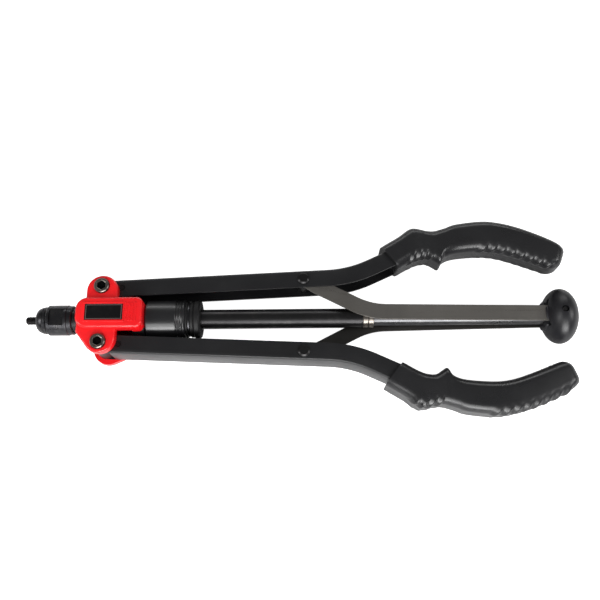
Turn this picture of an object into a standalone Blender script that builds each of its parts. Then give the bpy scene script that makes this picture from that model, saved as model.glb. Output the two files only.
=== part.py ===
"""Rivet nut tool with two long arms, modelled as an assembly of separate pieces.

The tool lies on its side: +X runs from the mandrel's tip to the knob, +Y to the upper arm,
+Z up. The origin is under the middle of the tool, on the face that it lies on.
Opening the arms draws the nose back and pushes the knob forward. The push rod's slotted nut
then turns the twisted spindle, which unscrews the mandrel.
"""
import math

import bmesh
import bpy
from mathutils import Vector

MM = 0.001

# Clearances
GAP = 0.3 * MM
RUNNING_GAP = 0.3 * MM
CHEEK_CLEARANCE = 0.4 * MM
END_CLEARANCE = 0.8 * MM
SEAT_GAP = 0.02 * MM
OVERCUT = 1.0 * MM

# Overall
TOOL_LENGTH = 390.0 * MM
AXIS_HEIGHT = 20.0 * MM

# Nose, from the mandrel's tip back to the head
MANDREL_RADIUS = 2.9 * MM
MANDREL_REACH = 8.6 * MM
MANDREL_SOCKET_DEPTH = 12.0 * MM
MANDREL_TIP_CHAMFER = 0.7 * MM
NOSEPIECE_LENGTH = 7.1 * MM
NOSEPIECE_FACE_RADIUS = 6.0 * MM
NOSEPIECE_ROOT_RADIUS = 9.0 * MM
NOSEPIECE_STEM_LENGTH = 4.0 * MM
NOSEPIECE_STEM_RADIUS = 5.7 * MM
NOSEPIECE_BAND = 0.3
NOSEPIECE_LIP = 1.2 * MM
NOSEPIECE_LIP_RISE = 0.6 * MM
HOUSING_LENGTH = 14.6 * MM
HOUSING_RADIUS = 10.8 * MM
HOUSING_FLATS = 19.6 * MM
NECK_LENGTH = 5.1 * MM
SLEEVE_RADIUS = 8.7 * MM
SLEEVE_THREAD_RADIUS = 7.2 * MM
SLEEVE_THREAD_LENGTH = 9.4 * MM
SLEEVE_BORE_RADIUS = 4.6 * MM
FLAT_FRONT_MARGIN = 3.0 * MM
FLAT_REAR_MARGIN = 2.0 * MM
TURNED_CHAMFER = 1.0 * MM
SMALL_CHAMFER = 0.3 * MM

# Head casting
HEAD_LENGTH = 50.3 * MM
HEAD_WIDTH = 28.6 * MM
HEAD_HEIGHT = 2 * AXIS_HEIGHT
HEAD_EDGE_RADIUS = 2.0 * MM
HEAD_FRONT_CHAMFER = 4.0 * MM
HEAD_REAR_CORNER = 4.5 * MM
EAR_EDGE_RADIUS = 1.4 * MM
FRONT_WALL = 6.0 * MM
REAR_WALL = 8.0 * MM
EAR_WALL = 5.7 * MM
EAR_RADIUS = 7.8 * MM
EAR_FRONT_REACH = 17.0 * MM
EAR_REAR_REACH = 14.0 * MM
LABEL_LENGTH = 28.0 * MM
LABEL_WIDTH = 13.5 * MM
LABEL_THICKNESS = 1.0 * MM
LABEL_RECESS = 0.8 * MM
LABEL_SHIFT = 1.8 * MM

# Arm pivots
PIVOT_SETBACK = 20.8 * MM
PIVOT_OFFSET = 20.0 * MM
BOLT_RADIUS = 3.5 * MM
BOLT_HEAD_RADIUS = 5.3 * MM
BOLT_HEAD_HEIGHT = 3.2 * MM
BOLT_HEAD_SINK = 1.2 * MM
BOLT_SOCKET_RADIUS = 2.6 * MM
BOLT_SOCKET_DEPTH = 2.0 * MM
BUSH_WALL = 0.7 * MM
NUT_RADIUS = 5.7 * MM
NUT_HEIGHT = 4.2 * MM
NUT_SINK = 3.0 * MM
BOLT_END_MARGIN = 0.4 * MM
BOLT_CHAMFER = 0.5 * MM

# Arms
ARM_OPENING = math.radians(27.0)
CHANNEL_WIDTH = 12.5 * MM
CHANNEL_HEIGHT = 21.8 * MM
CHANNEL_WALL = 1.6 * MM
CHANNEL_FORM_RADIUS = 2.0 * MM
BEND_X = 35.1 * MM
BEND_OFFSET = 27.8 * MM
BEND_RADIUS = 80.0 * MM
BEND_ANGLE = math.radians(25.0)
MOUTH_ALONG = 30.2 * MM
TANG_LENGTH = 28.0 * MM
POCKET_LEAD = 14.0 * MM
WINDOW_MARGIN = 5.0 * MM

# Toe cams and the yoke that they push
TOE_REACH = 8.5 * MM
TOE_RADIUS = 2.2 * MM
CAM_EYE_RADIUS = 6.2 * MM
CAM_CLEARANCE = 0.4 * MM
CAM_TAIL = 12.5 * MM
CAM_TAIL_WIDTH = 8.4 * MM
CAM_RIVET_RADIUS = 1.8 * MM
YOKE_WIDTH = 26.4 * MM
YOKE_CLEARANCE = 1.7 * MM
YOKE_CHEEK = 3.2 * MM
YOKE_RING_CLEARANCE = 1.3 * MM
YOKE_RING_LENGTH = 3.0 * MM
SPIGOT_RADIUS = 6.8 * MM

# Links
LINK_THICKNESS = 1.8 * MM
LINK_WIDTH = 11.0 * MM
LINK_EYE_RADIUS = 4.3 * MM
LINK_END_RADIUS = 3.6 * MM
LINK_PIN_X = 2.0 * MM
LINK_PIN_RADIUS = 2.5 * MM
LINK_PIN_HEAD_RADIUS = 4.2 * MM
LINK_PIN_HEAD_HEIGHT = 1.3 * MM
LINK_KNEE_X = 48.5 * MM
LINK_KNEE_OFFSET = 2.2 * MM
LINK_KNEE_RADIUS = 50.0 * MM
LINK_NECK_LENGTH = 8.0 * MM
LINK_SLOT_GAP = 0.4 * MM

# Knob
KNOB_LENGTH = 24.0 * MM
KNOB_RADIUS = 19.8 * MM
KNOB_CROWN_LENGTH = 12.0 * MM
KNOB_FACE_ANGLE = math.radians(12.0)
KNOB_HUB_ANGLE = math.radians(148.0)
KNOB_PIN_SETBACK = 13.5 * MM
KNOB_PIN_RADIUS = 2.0 * MM
KNOB_WALL = 5.0 * MM
KNOB_HUB_CHAMFER = 0.6 * MM
KNOB_PIN_SINK = 1.4 * MM
KNOB_PIN_CHAMFER = 0.4 * MM
KNOB_SLOT_REACH = 40.0 * MM

# Bearing housing, guide tube, push rod and spindle
BARREL_LENGTH = 28.0 * MM
BARREL_WALL = 6.8 * MM
SPIGOT_WALL = 3.5 * MM
BARREL_FLOOR = 1.0 * MM
BARREL_GROOVES = 3
GROOVE_PITCH = 1.8 * MM
GROOVE_DEPTH = 0.5 * MM
GROOVE_MARGIN = 2.0 * MM
SPIGOT_SETBACK = 0.5 * MM
END_RING_LENGTH = 5.2 * MM
END_RING_WALL = 2.8 * MM
END_RING_CHAMFER = 1.5 * MM
FLANGE_LENGTH = 5.0 * MM
FLANGE_STEP = 0.2 * MM
TUBE_WALL = 1.1 * MM
TUBE_REACH = 114.0 * MM
COLLAR_LENGTH = 3.6 * MM
ROD_WALL = 0.9 * MM
HOLDER_WALL = 1.0 * MM
THRUST_COLLAR_LENGTH = 3.0 * MM
THRUST_WASHER_LENGTH = 2.0 * MM
SPINDLE_BUSH_LENGTH = 5.0 * MM
HOLDER_TAIL_WALL = 1.4 * MM
HOLDER_TAIL_LENGTH = 7.0 * MM
SPINDLE_SEAT = 6.0 * MM
SPINDLE_MARGIN = 1.6 * MM
SPINDLE_THINNESS = 0.4
SPINDLE_LEAD = 20.0 * MM
SPINDLE_OVERRUN = 6.0 * MM
NUT_FLANGE_LENGTH = 3.0 * MM
NUT_SPIGOT_LENGTH = 4.0 * MM

# Grips
GRIP_CORNER = 5.0 * MM
RIB_HEIGHT = 0.8 * MM
RIB_SLANT = 0.5
RIB_CREST = 0.6
RIB_LOW_LEVEL = 0.25
RIB_SPANS = ((11.5 * MM, 31.5 * MM), (63.5 * MM, 117.5 * MM))
RIB_COUNTS = (4, 8)

# Resolution and marks
HINGE_MARK = 10.0 * MM
STEPS_LARGE = 32
STEPS_MEDIUM = 24
STEPS_SMALL = 16
CORNER_STEPS = 3
PATH_STEPS = 7
SLOT_STEPS = 12
SLOT_STATIONS = 7
KNOB_ROWS = 10
TWIST_STEPS = 24

# Places along the axis that follow from the sizes
TIP_X = -TOOL_LENGTH / 2
KNOB_END_X = TOOL_LENGTH / 2
ANVIL_X = TIP_X + MANDREL_REACH
HOUSING_FRONT_X = ANVIL_X + NOSEPIECE_LENGTH
HOUSING_REAR_X = HOUSING_FRONT_X + GAP + HOUSING_LENGTH
HEAD_FRONT_X = HOUSING_REAR_X + NECK_LENGTH
HEAD_REAR_X = HEAD_FRONT_X + HEAD_LENGTH
WINDOW_FRONT_X = HEAD_FRONT_X + FRONT_WALL
WINDOW_REAR_X = HEAD_REAR_X - REAR_WALL
PIVOT_X = HEAD_FRONT_X + PIVOT_SETBACK
CHEEK_Z = CHANNEL_HEIGHT / 2 + CHEEK_CLEARANCE
YOKE_HEIGHT = 2 * (CHEEK_Z - YOKE_CLEARANCE)
YOKE_RING_RADIUS = CHEEK_Z - YOKE_RING_CLEARANCE
EAR_Z = CHEEK_Z + EAR_WALL
FLANGE_Z = CHANNEL_HEIGHT / 2 - CHANNEL_WALL
LINK_TOP_Z = FLANGE_Z - GAP
LINK_LOW_Z = LINK_TOP_Z - LINK_THICKNESS
TUBE_RADIUS = LINK_LOW_Z - GAP
TUBE_BORE_RADIUS = TUBE_RADIUS - TUBE_WALL
ROD_RADIUS = TUBE_BORE_RADIUS - RUNNING_GAP
ROD_BORE_RADIUS = ROD_RADIUS - ROD_WALL
SPINDLE_WIDTH = 2 * (ROD_BORE_RADIUS - SPINDLE_MARGIN)
SPINDLE_THICKNESS = SPINDLE_WIDTH * SPINDLE_THINNESS
HOLDER_RADIUS = MANDREL_RADIUS + GAP + HOLDER_WALL
HOLDER_TAIL_RADIUS = SPINDLE_WIDTH / 2 + HOLDER_TAIL_WALL
BARREL_CAVITY_RADIUS = TUBE_RADIUS + GAP
BARREL_RADIUS = BARREL_CAVITY_RADIUS + BARREL_WALL
BARREL_SPIGOT_RADIUS = HOLDER_RADIUS + RUNNING_GAP + SPIGOT_WALL
END_RING_RADIUS = TUBE_RADIUS + GAP + END_RING_WALL
FLANGE_RADIUS = BARREL_RADIUS - FLANGE_STEP
CAM_THICKNESS = 2 * (FLANGE_Z - CAM_CLEARANCE)
BUSH_RADIUS = BOLT_RADIUS + GAP + BUSH_WALL
ARM_BORE_RADIUS = BUSH_RADIUS + RUNNING_GAP

# Arms: the straight run passes through the pivot and the corner of the bend
ARM_SLOPE = math.atan2(BEND_OFFSET - PIVOT_OFFSET, BEND_X - PIVOT_X)
LINK_PIN_OFFSET = PIVOT_OFFSET + (LINK_PIN_X - PIVOT_X) * math.tan(ARM_SLOPE)
MOUTH_X = BEND_X + MOUTH_ALONG * math.cos(BEND_ANGLE)
MOUTH_OFFSET = BEND_OFFSET + MOUTH_ALONG * math.sin(BEND_ANGLE)

# Linkage: how far the knob travels while the arms open
KNOB_PIN_X = KNOB_END_X - KNOB_PIN_SETBACK
LINK_LENGTH = math.hypot(KNOB_PIN_X - LINK_PIN_X, LINK_PIN_OFFSET)
CRANK_LENGTH = math.hypot(LINK_PIN_X - PIVOT_X, LINK_PIN_OFFSET - PIVOT_OFFSET)


def link_state(opening):
    """Link pin position, true knob pin position and link angle at one opening of the arms."""
    x = PIVOT_X + CRANK_LENGTH * math.cos(ARM_SLOPE + opening)
    y = PIVOT_OFFSET + CRANK_LENGTH * math.sin(ARM_SLOPE + opening)
    return x, y, x + math.sqrt(LINK_LENGTH ** 2 - y ** 2), math.asin(y / LINK_LENGTH)


KNOB_TRAVEL = KNOB_PIN_X - link_state(ARM_OPENING)[2]
LINK_ANGLE_REST = link_state(0.0)[3]
LINK_ANGLE_OPEN = link_state(ARM_OPENING)[3]


def knob_overrun(opening):
    """Where the link's end lies past the knob pin when the knob moves evenly with the arms."""
    x, y = link_state(opening)[:2]
    share = opening / ARM_OPENING
    angle = LINK_ANGLE_REST + (LINK_ANGLE_OPEN - LINK_ANGLE_REST) * share
    end_x = x + LINK_LENGTH * math.cos(angle)
    return end_x - (KNOB_PIN_X - KNOB_TRAVEL * share)


# Toes swing evenly to both sides of the line from pivot to axis
TOE_ANGLE = ARM_OPENING / 2
TOE_X = PIVOT_X - TOE_REACH * math.sin(TOE_ANGLE)
NOSE_TRAVEL = 2 * TOE_REACH * math.sin(TOE_ANGLE)

# Mandrel drive
BARREL_FRONT_X = HEAD_REAR_X + GAP
BARREL_REAR_X = BARREL_FRONT_X + BARREL_LENGTH
CAVITY_FRONT_X = BARREL_FRONT_X + BARREL_FLOOR
WASHER_FRONT_X = CAVITY_FRONT_X + GAP
COLLAR_FRONT_X = WASHER_FRONT_X + THRUST_WASHER_LENGTH + GAP
BUSH_FRONT_X = COLLAR_FRONT_X + THRUST_COLLAR_LENGTH + GAP
TUBE_FRONT_X = BUSH_FRONT_X + SPINDLE_BUSH_LENGTH + GAP
TUBE_REAR_X = BARREL_REAR_X + END_RING_LENGTH + FLANGE_LENGTH + TUBE_REACH
HOLDER_REAR_X = COLLAR_FRONT_X + THRUST_COLLAR_LENGTH + HOLDER_TAIL_LENGTH
HOLDER_FRONT_X = HOUSING_FRONT_X + NOSEPIECE_STEM_LENGTH + NOSE_TRAVEL + END_CLEARANCE
ROD_FRONT_X = HOLDER_REAR_X + KNOB_TRAVEL + END_CLEARANCE
ROD_REAR_X = KNOB_END_X - KNOB_WALL
SPINDLE_FRONT_X = HOLDER_REAR_X - SPINDLE_SEAT
SPINDLE_REAR_X = ROD_FRONT_X + NUT_FLANGE_LENGTH + NUT_SPIGOT_LENGTH + SPINDLE_OVERRUN

# Grip stations in the tool's plan, from the centre of the mouth: outer point, inner point
# and half height, all in millimetres
GRIP_STATIONS = (
    ((-5.2, 9.5), (7.1, -6.2), 13.2),
    ((-0.6, 12.4), (8.8, -5.4), 13.4),
    ((8.0, 17.7), (13.0, -2.9), 13.4),
    ((15.5, 23.4), (19.0, 0.2), 13.2),
    ((20.5, 24.7), (23.5, 1.7), 12.8),
    ((29.5, 22.9), (29.5, 2.0), 12.2),
    ((34.5, 23.0), (34.0, -0.6), 12.0),
    ((38.5, 24.0), (37.8, -2.4), 12.0),
    ((43.0, 25.4), (41.5, 2.6), 12.0),
    ((50.5, 28.0), (50.0, 5.8), 12.2),
    ((68.5, 29.9), (68.5, 7.4), 12.6),
    ((81.5, 28.6), (81.0, 6.2), 12.6),
    ((95.5, 24.8), (94.5, 2.0), 12.4),
    ((111.5, 18.4), (108.0, -3.2), 12.0),
    ((121.5, 13.4), (116.0, -6.2), 11.4),
    ((126.2, 9.6), (121.2, -5.6), 9.6),
    ((127.5, 7.4), (123.4, -4.0), 7.4),
)


def clear_scene():
    for item in list(bpy.data.objects):
        bpy.data.objects.remove(item, do_unlink=True)


def make_collection(name):
    collection = bpy.data.collections.new(name)
    bpy.context.scene.collection.children.link(collection)
    return collection


clear_scene()
PARTS = make_collection("rivet_nut_tool")
CUTTERS = make_collection("cutters")


def material(name, color, roughness, metallic):
    """A Principled material in one colour."""
    made = bpy.data.materials.new(name)
    made.use_nodes = True
    shader = made.node_tree.nodes["Principled BSDF"]
    shader.inputs["Base Color"].default_value = (*color, 1.0)
    shader.inputs["Roughness"].default_value = roughness
    shader.inputs["Metallic"].default_value = metallic
    return made


RED_PAINT = ((0.68, 0.02, 0.03), 0.35, 0.0)
BLACK_PAINT = ((0.03, 0.03, 0.032), 0.4, 0.0)
BLACK_PLASTIC = ((0.02, 0.02, 0.022), 0.35, 0.0)
BLACK_OXIDE = ((0.06, 0.06, 0.065), 0.4, 0.8)
BARE_STEEL = ((0.32, 0.31, 0.29), 0.4, 1.0)
BRIGHT_STEEL = ((0.65, 0.65, 0.66), 0.25, 1.0)
BRONZE = ((0.55, 0.38, 0.18), 0.4, 1.0)


def smooth(mesh):
    mesh.shade_smooth()
    mesh.set_sharp_from_angle(angle=math.radians(35))


def add_object(name, data, finish=None, is_cutter=False):
    """Puts mesh or curve data in the scene, as a part or as a cutter."""
    item = bpy.data.objects.new(name, data)
    if is_cutter:
        item.hide_render = True
        item.display_type = "WIRE"
        CUTTERS.objects.link(item)
    else:
        data.materials.append(material(name, *finish))
        PARTS.objects.link(item)
    return item


def mesh_from(name, build):
    """A new mesh made by a function that fills a bmesh."""
    made = bpy.data.meshes.new(name)
    work = bmesh.new()
    build(work)
    work.to_mesh(made)
    work.free()
    smooth(made)
    return made


def cut(item, cutter, operation="DIFFERENCE"):
    step = item.modifiers.new(cutter.name, "BOOLEAN")
    step.operation = operation
    step.object = cutter
    step.solver = "EXACT"


def bevel(item, width, segments=2, angle=35):
    step = item.modifiers.new("rounded_edges", "BEVEL")
    step.width = width
    step.segments = segments
    step.limit_method = "ANGLE"
    step.angle_limit = math.radians(angle)


def box(name, low, high, finish=None, is_cutter=False):
    """A box between two corners, heights counted from the tool's axis."""
    size = [h - l for l, h in zip(low, high)]

    def build(work):
        bmesh.ops.create_cube(work, size=1.0)
        bmesh.ops.scale(work, vec=size, verts=work.verts)

    item = add_object(name, mesh_from(name, build), finish, is_cutter)
    middle = [(l + h) / 2 for l, h in zip(low, high)]
    item.location = (middle[0], middle[1], middle[2] + AXIS_HEIGHT)
    return item


def round_bar(name, x, y, low_z, high_z, radius, finish=None, is_cutter=False, steps=STEPS_SMALL):
    """An upright cylinder or, with six steps, a hexagon."""

    def build(work):
        bmesh.ops.create_cone(
            work, cap_ends=True, segments=steps, radius1=radius, radius2=radius, depth=high_z - low_z
        )

    item = add_object(name, mesh_from(name, build), finish, is_cutter)
    item.location = (x, y, (low_z + high_z) / 2 + AXIS_HEIGHT)
    return item


def spin_profile(item, steps):
    step = item.modifiers.new("turned", "SCREW")
    step.axis = "Z"
    step.angle = math.tau
    step.steps = steps
    step.render_steps = steps
    step.use_merge_vertices = True
    step.merge_threshold = 0.01 * MM
    step.use_smooth_shade = True


def turned(name, outline, finish=None, is_cutter=False, steps=STEPS_LARGE, upright=None):
    """A turned piece from (place along the axis, radius) pairs, rear end first.

    The outline goes from rear to front down the outside and, for a hollow piece, back up the
    bore. With upright given as (x, y) the piece stands on Z there, else it lies on the tool's axis.
    """
    made = bpy.data.meshes.new(name)
    points = [(radius, 0.0, along) for along, radius in outline]
    edges = [(i, i + 1) for i in range(len(points) - 1)]
    if outline[0][1] > 0:
        edges.append((len(points) - 1, 0))
    made.from_pydata(points, edges, [])
    item = add_object(name, made, finish, is_cutter)
    spin_profile(item, steps)
    if upright is None:
        item.rotation_euler = (0.0, math.pi / 2, 0.0)
        item.location = (0.0, 0.0, AXIS_HEIGHT)
    else:
        item.location = (upright[0], upright[1], AXIS_HEIGHT)
    return item


def ring(name, front, rear, outer, bore, finish=None, chamfer=SMALL_CHAMFER, **options):
    """A plain turned ring with chamfered outer edges."""
    outline = (
        (rear, bore), (rear, outer - chamfer), (rear - chamfer, outer),
        (front + chamfer, outer), (front, outer - chamfer), (front, bore),
    )
    return turned(name, outline, finish, **options)


def disc(name, front, rear, radius, **options):
    """A plain turned disc, mostly for cutting."""
    return turned(name, ((rear, 0.0), (rear, radius), (front, radius), (front, 0.0)), **options)


def circle_points(centre, radius, start, end, steps):
    """Points on an arc, its ends included, angles in radians."""
    return [
        Vector((
            centre[0] + radius * math.cos(start + (end - start) * i / steps),
            centre[1] + radius * math.sin(start + (end - start) * i / steps),
        ))
        for i in range(steps + 1)
    ]


def plate(name, outline, low_z, high_z, finish=None, is_cutter=False):
    """A flat plate of a plan outline, as a filled 2D curve with an extrusion."""
    curve = bpy.data.curves.new(name, "CURVE")
    curve.dimensions = "2D"
    curve.fill_mode = "BOTH"
    curve.extrude = (high_z - low_z) / 2
    spline = curve.splines.new("POLY")
    spline.points.add(len(outline) - 1)
    for point, place in zip(spline.points, outline):
        point.co = (place[0], place[1], 0.0, 1.0)
    spline.use_cyclic_u = True
    flat = bpy.data.objects.new(name + "_outline", curve)
    PARTS.objects.link(flat)
    bpy.context.view_layer.update()
    solid = bpy.data.meshes.new_from_object(flat.evaluated_get(bpy.context.evaluated_depsgraph_get()))
    bpy.data.objects.remove(flat, do_unlink=True)
    work = bmesh.new()
    work.from_mesh(solid)
    bmesh.ops.remove_doubles(work, verts=work.verts, dist=0.001 * MM)
    bmesh.ops.recalc_face_normals(work, faces=work.faces)
    work.to_mesh(solid)
    work.free()
    solid.name = name
    item = add_object(name, solid, finish, is_cutter)
    item.location = (0.0, 0.0, (low_z + high_z) / 2 + AXIS_HEIGHT)
    return item


def hull_prism(name, points, low_z, high_z, is_cutter=True):
    """A prism over the convex outline of plan points."""

    def build(work):
        for x, y in points:
            work.verts.new((x, y, low_z + AXIS_HEIGHT))
            work.verts.new((x, y, high_z + AXIS_HEIGHT))
        bmesh.ops.convex_hull(work, input=work.verts)
        bmesh.ops.dissolve_limit(work, angle_limit=0.001, verts=work.verts, edges=work.edges)
        bmesh.ops.recalc_face_normals(work, faces=work.faces)

    return add_object(name, mesh_from(name, build), None, is_cutter)


def loft(name, sections, finish=None, is_cutter=False):
    """A closed solid through rings of points, with flat ends."""

    def build(work):
        rings = [[work.verts.new(p) for p in section] for section in sections]
        count = len(rings[0])
        for near, far in zip(rings, rings[1:]):
            for i in range(count):
                j = (i + 1) % count
                work.faces.new((near[i], near[j], far[j], far[i]))
        work.faces.new(list(reversed(rings[0])))
        work.faces.new(rings[-1])
        bmesh.ops.recalc_face_normals(work, faces=work.faces)

    return add_object(name, mesh_from(name, build), finish, is_cutter)


def rotated(point, angle):
    """A plan vector turned about the origin."""
    x, y = point
    return Vector((x * math.cos(angle) - y * math.sin(angle), x * math.sin(angle) + y * math.cos(angle)))


def carry(name, place, items):
    """Hangs pieces on an empty that stands on their joint's axis."""
    hinge = bpy.data.objects.new(name, None)
    hinge.location = (place[0], place[1], AXIS_HEIGHT)
    hinge.empty_display_size = HINGE_MARK
    PARTS.objects.link(hinge)
    bpy.context.view_layer.update()
    for item in items:
        item.parent = hinge
        item.matrix_parent_inverse = hinge.matrix_world.inverted()


def rounded_path(points, radius, steps):
    """A bent path through a start, one corner and an end, the corner as an arc."""
    start, corner, end = (Vector(p) for p in points)
    into = (corner - start).normalized()
    out = (end - corner).normalized()
    turn = math.atan2(into.x * out.y - into.y * out.x, into.dot(out))
    reach = radius * math.tan(abs(turn) / 2)
    side = 1 if turn > 0 else -1
    first = corner - into * reach
    centre = first + side * radius * Vector((-into.y, into.x))
    heading = math.atan2(first.y - centre.y, first.x - centre.x)
    arc = circle_points(centre, radius, heading, heading + turn, steps)
    return [start, *arc, end]


def offset_path(path, distance):
    """The path moved sideways, to its left for a positive distance."""
    moved = []
    for i, point in enumerate(path):
        before = path[max(i - 1, 0)]
        after = path[min(i + 1, len(path) - 1)]
        along = (after - before).normalized()
        moved.append(point + distance * Vector((-along.y, along.x)))
    return moved


def build_nose():
    """Mandrel side of the tool: nosepiece, housing, sleeve and the yoke that the toes push."""
    sleeve_front = HOUSING_REAR_X - SLEEVE_THREAD_LENGTH
    neck_front = HOUSING_REAR_X + GAP
    yoke_front = TOE_X - TOE_RADIUS - GAP - YOKE_CHEEK
    yoke_rear = TOE_X + TOE_RADIUS + GAP + YOKE_CHEEK
    ring_front = yoke_rear + GAP
    ring_rear = ring_front + YOKE_RING_LENGTH
    bore = MANDREL_RADIUS + RUNNING_GAP

    nosepiece = turned("nosepiece", (
        (HOUSING_FRONT_X + NOSEPIECE_STEM_LENGTH, bore),
        (HOUSING_FRONT_X + NOSEPIECE_STEM_LENGTH, NOSEPIECE_STEM_RADIUS),
        (HOUSING_FRONT_X, NOSEPIECE_STEM_RADIUS),
        (HOUSING_FRONT_X, NOSEPIECE_ROOT_RADIUS),
        (HOUSING_FRONT_X - NOSEPIECE_LENGTH * NOSEPIECE_BAND, NOSEPIECE_ROOT_RADIUS),
        (ANVIL_X + NOSEPIECE_LIP, NOSEPIECE_FACE_RADIUS + NOSEPIECE_LIP_RISE),
        (ANVIL_X, NOSEPIECE_FACE_RADIUS),
        (ANVIL_X, bore),
    ), BLACK_OXIDE, steps=STEPS_MEDIUM)

    stem_bore_rear = HOUSING_FRONT_X + NOSEPIECE_STEM_LENGTH + GAP
    chamfer = TURNED_CHAMFER
    housing = turned("nose_housing", (
        (HOUSING_REAR_X, SLEEVE_THREAD_RADIUS + GAP),
        (HOUSING_REAR_X, HOUSING_RADIUS - chamfer),
        (HOUSING_REAR_X - chamfer, HOUSING_RADIUS),
        (HOUSING_FRONT_X + GAP + chamfer, HOUSING_RADIUS),
        (HOUSING_FRONT_X + GAP, HOUSING_RADIUS - chamfer),
        (HOUSING_FRONT_X + GAP, NOSEPIECE_STEM_RADIUS + GAP),
        (stem_bore_rear, NOSEPIECE_STEM_RADIUS + GAP),
        (stem_bore_rear, SLEEVE_THREAD_RADIUS + GAP),
    ), BLACK_OXIDE, steps=STEPS_MEDIUM)
    for side in (1, -1):
        flat = box(
            "housing_flat_" + ("top" if side > 0 else "bottom"),
            (HOUSING_FRONT_X + FLAT_FRONT_MARGIN, -HOUSING_RADIUS, min(side * HOUSING_FLATS / 2, side * HOUSING_FLATS)),
            (HOUSING_REAR_X - FLAT_REAR_MARGIN, HOUSING_RADIUS, max(side * HOUSING_FLATS / 2, side * HOUSING_FLATS)),
            is_cutter=True,
        )
        cut(housing, flat)

    sleeve = turned("nose_sleeve", (
        (ring_rear + GAP, SLEEVE_BORE_RADIUS),
        (ring_rear + GAP, SPIGOT_RADIUS),
        (yoke_front - GAP, SPIGOT_RADIUS),
        (yoke_front - GAP, SLEEVE_RADIUS),
        (neck_front, SLEEVE_RADIUS),
        (neck_front, SLEEVE_THREAD_RADIUS),
        (sleeve_front, SLEEVE_THREAD_RADIUS),
        (sleeve_front, SLEEVE_BORE_RADIUS),
    ), BLACK_OXIDE, steps=STEPS_MEDIUM)

    half_width = YOKE_WIDTH / 2
    half_height = YOKE_HEIGHT / 2
    yoke = box(
        "thrust_yoke", (yoke_front, -half_width, -half_height), (yoke_rear, half_width, half_height), BLACK_OXIDE
    )
    groove_floor = PIVOT_OFFSET - TOE_REACH - TOE_RADIUS - GAP
    for side, name in ((1, "upper"), (-1, "lower")):
        reach = sorted((side * groove_floor, side * YOKE_WIDTH))
        groove = box(
            "yoke_groove_" + name,
            (TOE_X - TOE_RADIUS - GAP, reach[0], -YOKE_HEIGHT),
            (TOE_X + TOE_RADIUS + GAP, reach[1], YOKE_HEIGHT),
            is_cutter=True,
        )
        cut(yoke, groove)
    cut(yoke, disc("yoke_bore", yoke_front - OVERCUT, yoke_rear + OVERCUT, SPIGOT_RADIUS + GAP, is_cutter=True))

    yoke_ring = ring(
        "yoke_ring_nut", ring_front, ring_rear, YOKE_RING_RADIUS, SPIGOT_RADIUS + GAP, BLACK_OXIDE, steps=STEPS_MEDIUM
    )
    carry("nose_slide", (ANVIL_X, 0.0), (nosepiece, housing, sleeve, yoke, yoke_ring))


def head_outline():
    """Plan of the casting's boss, with chamfered front and rounded rear corners."""
    half = HEAD_WIDTH / 2
    front = [
        Vector((HEAD_FRONT_X + HEAD_FRONT_CHAMFER, half)),
        Vector((HEAD_FRONT_X, half - HEAD_FRONT_CHAMFER)),
        Vector((HEAD_FRONT_X, HEAD_FRONT_CHAMFER - half)),
        Vector((HEAD_FRONT_X + HEAD_FRONT_CHAMFER, -half)),
    ]
    corner_x = HEAD_REAR_X - HEAD_REAR_CORNER
    corner_y = half - HEAD_REAR_CORNER
    rear = circle_points((corner_x, -corner_y), HEAD_REAR_CORNER, -math.pi / 2, 0.0, CORNER_STEPS)
    rear += circle_points((corner_x, corner_y), HEAD_REAR_CORNER, 0.0, math.pi / 2, CORNER_STEPS)
    return front + rear


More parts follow.
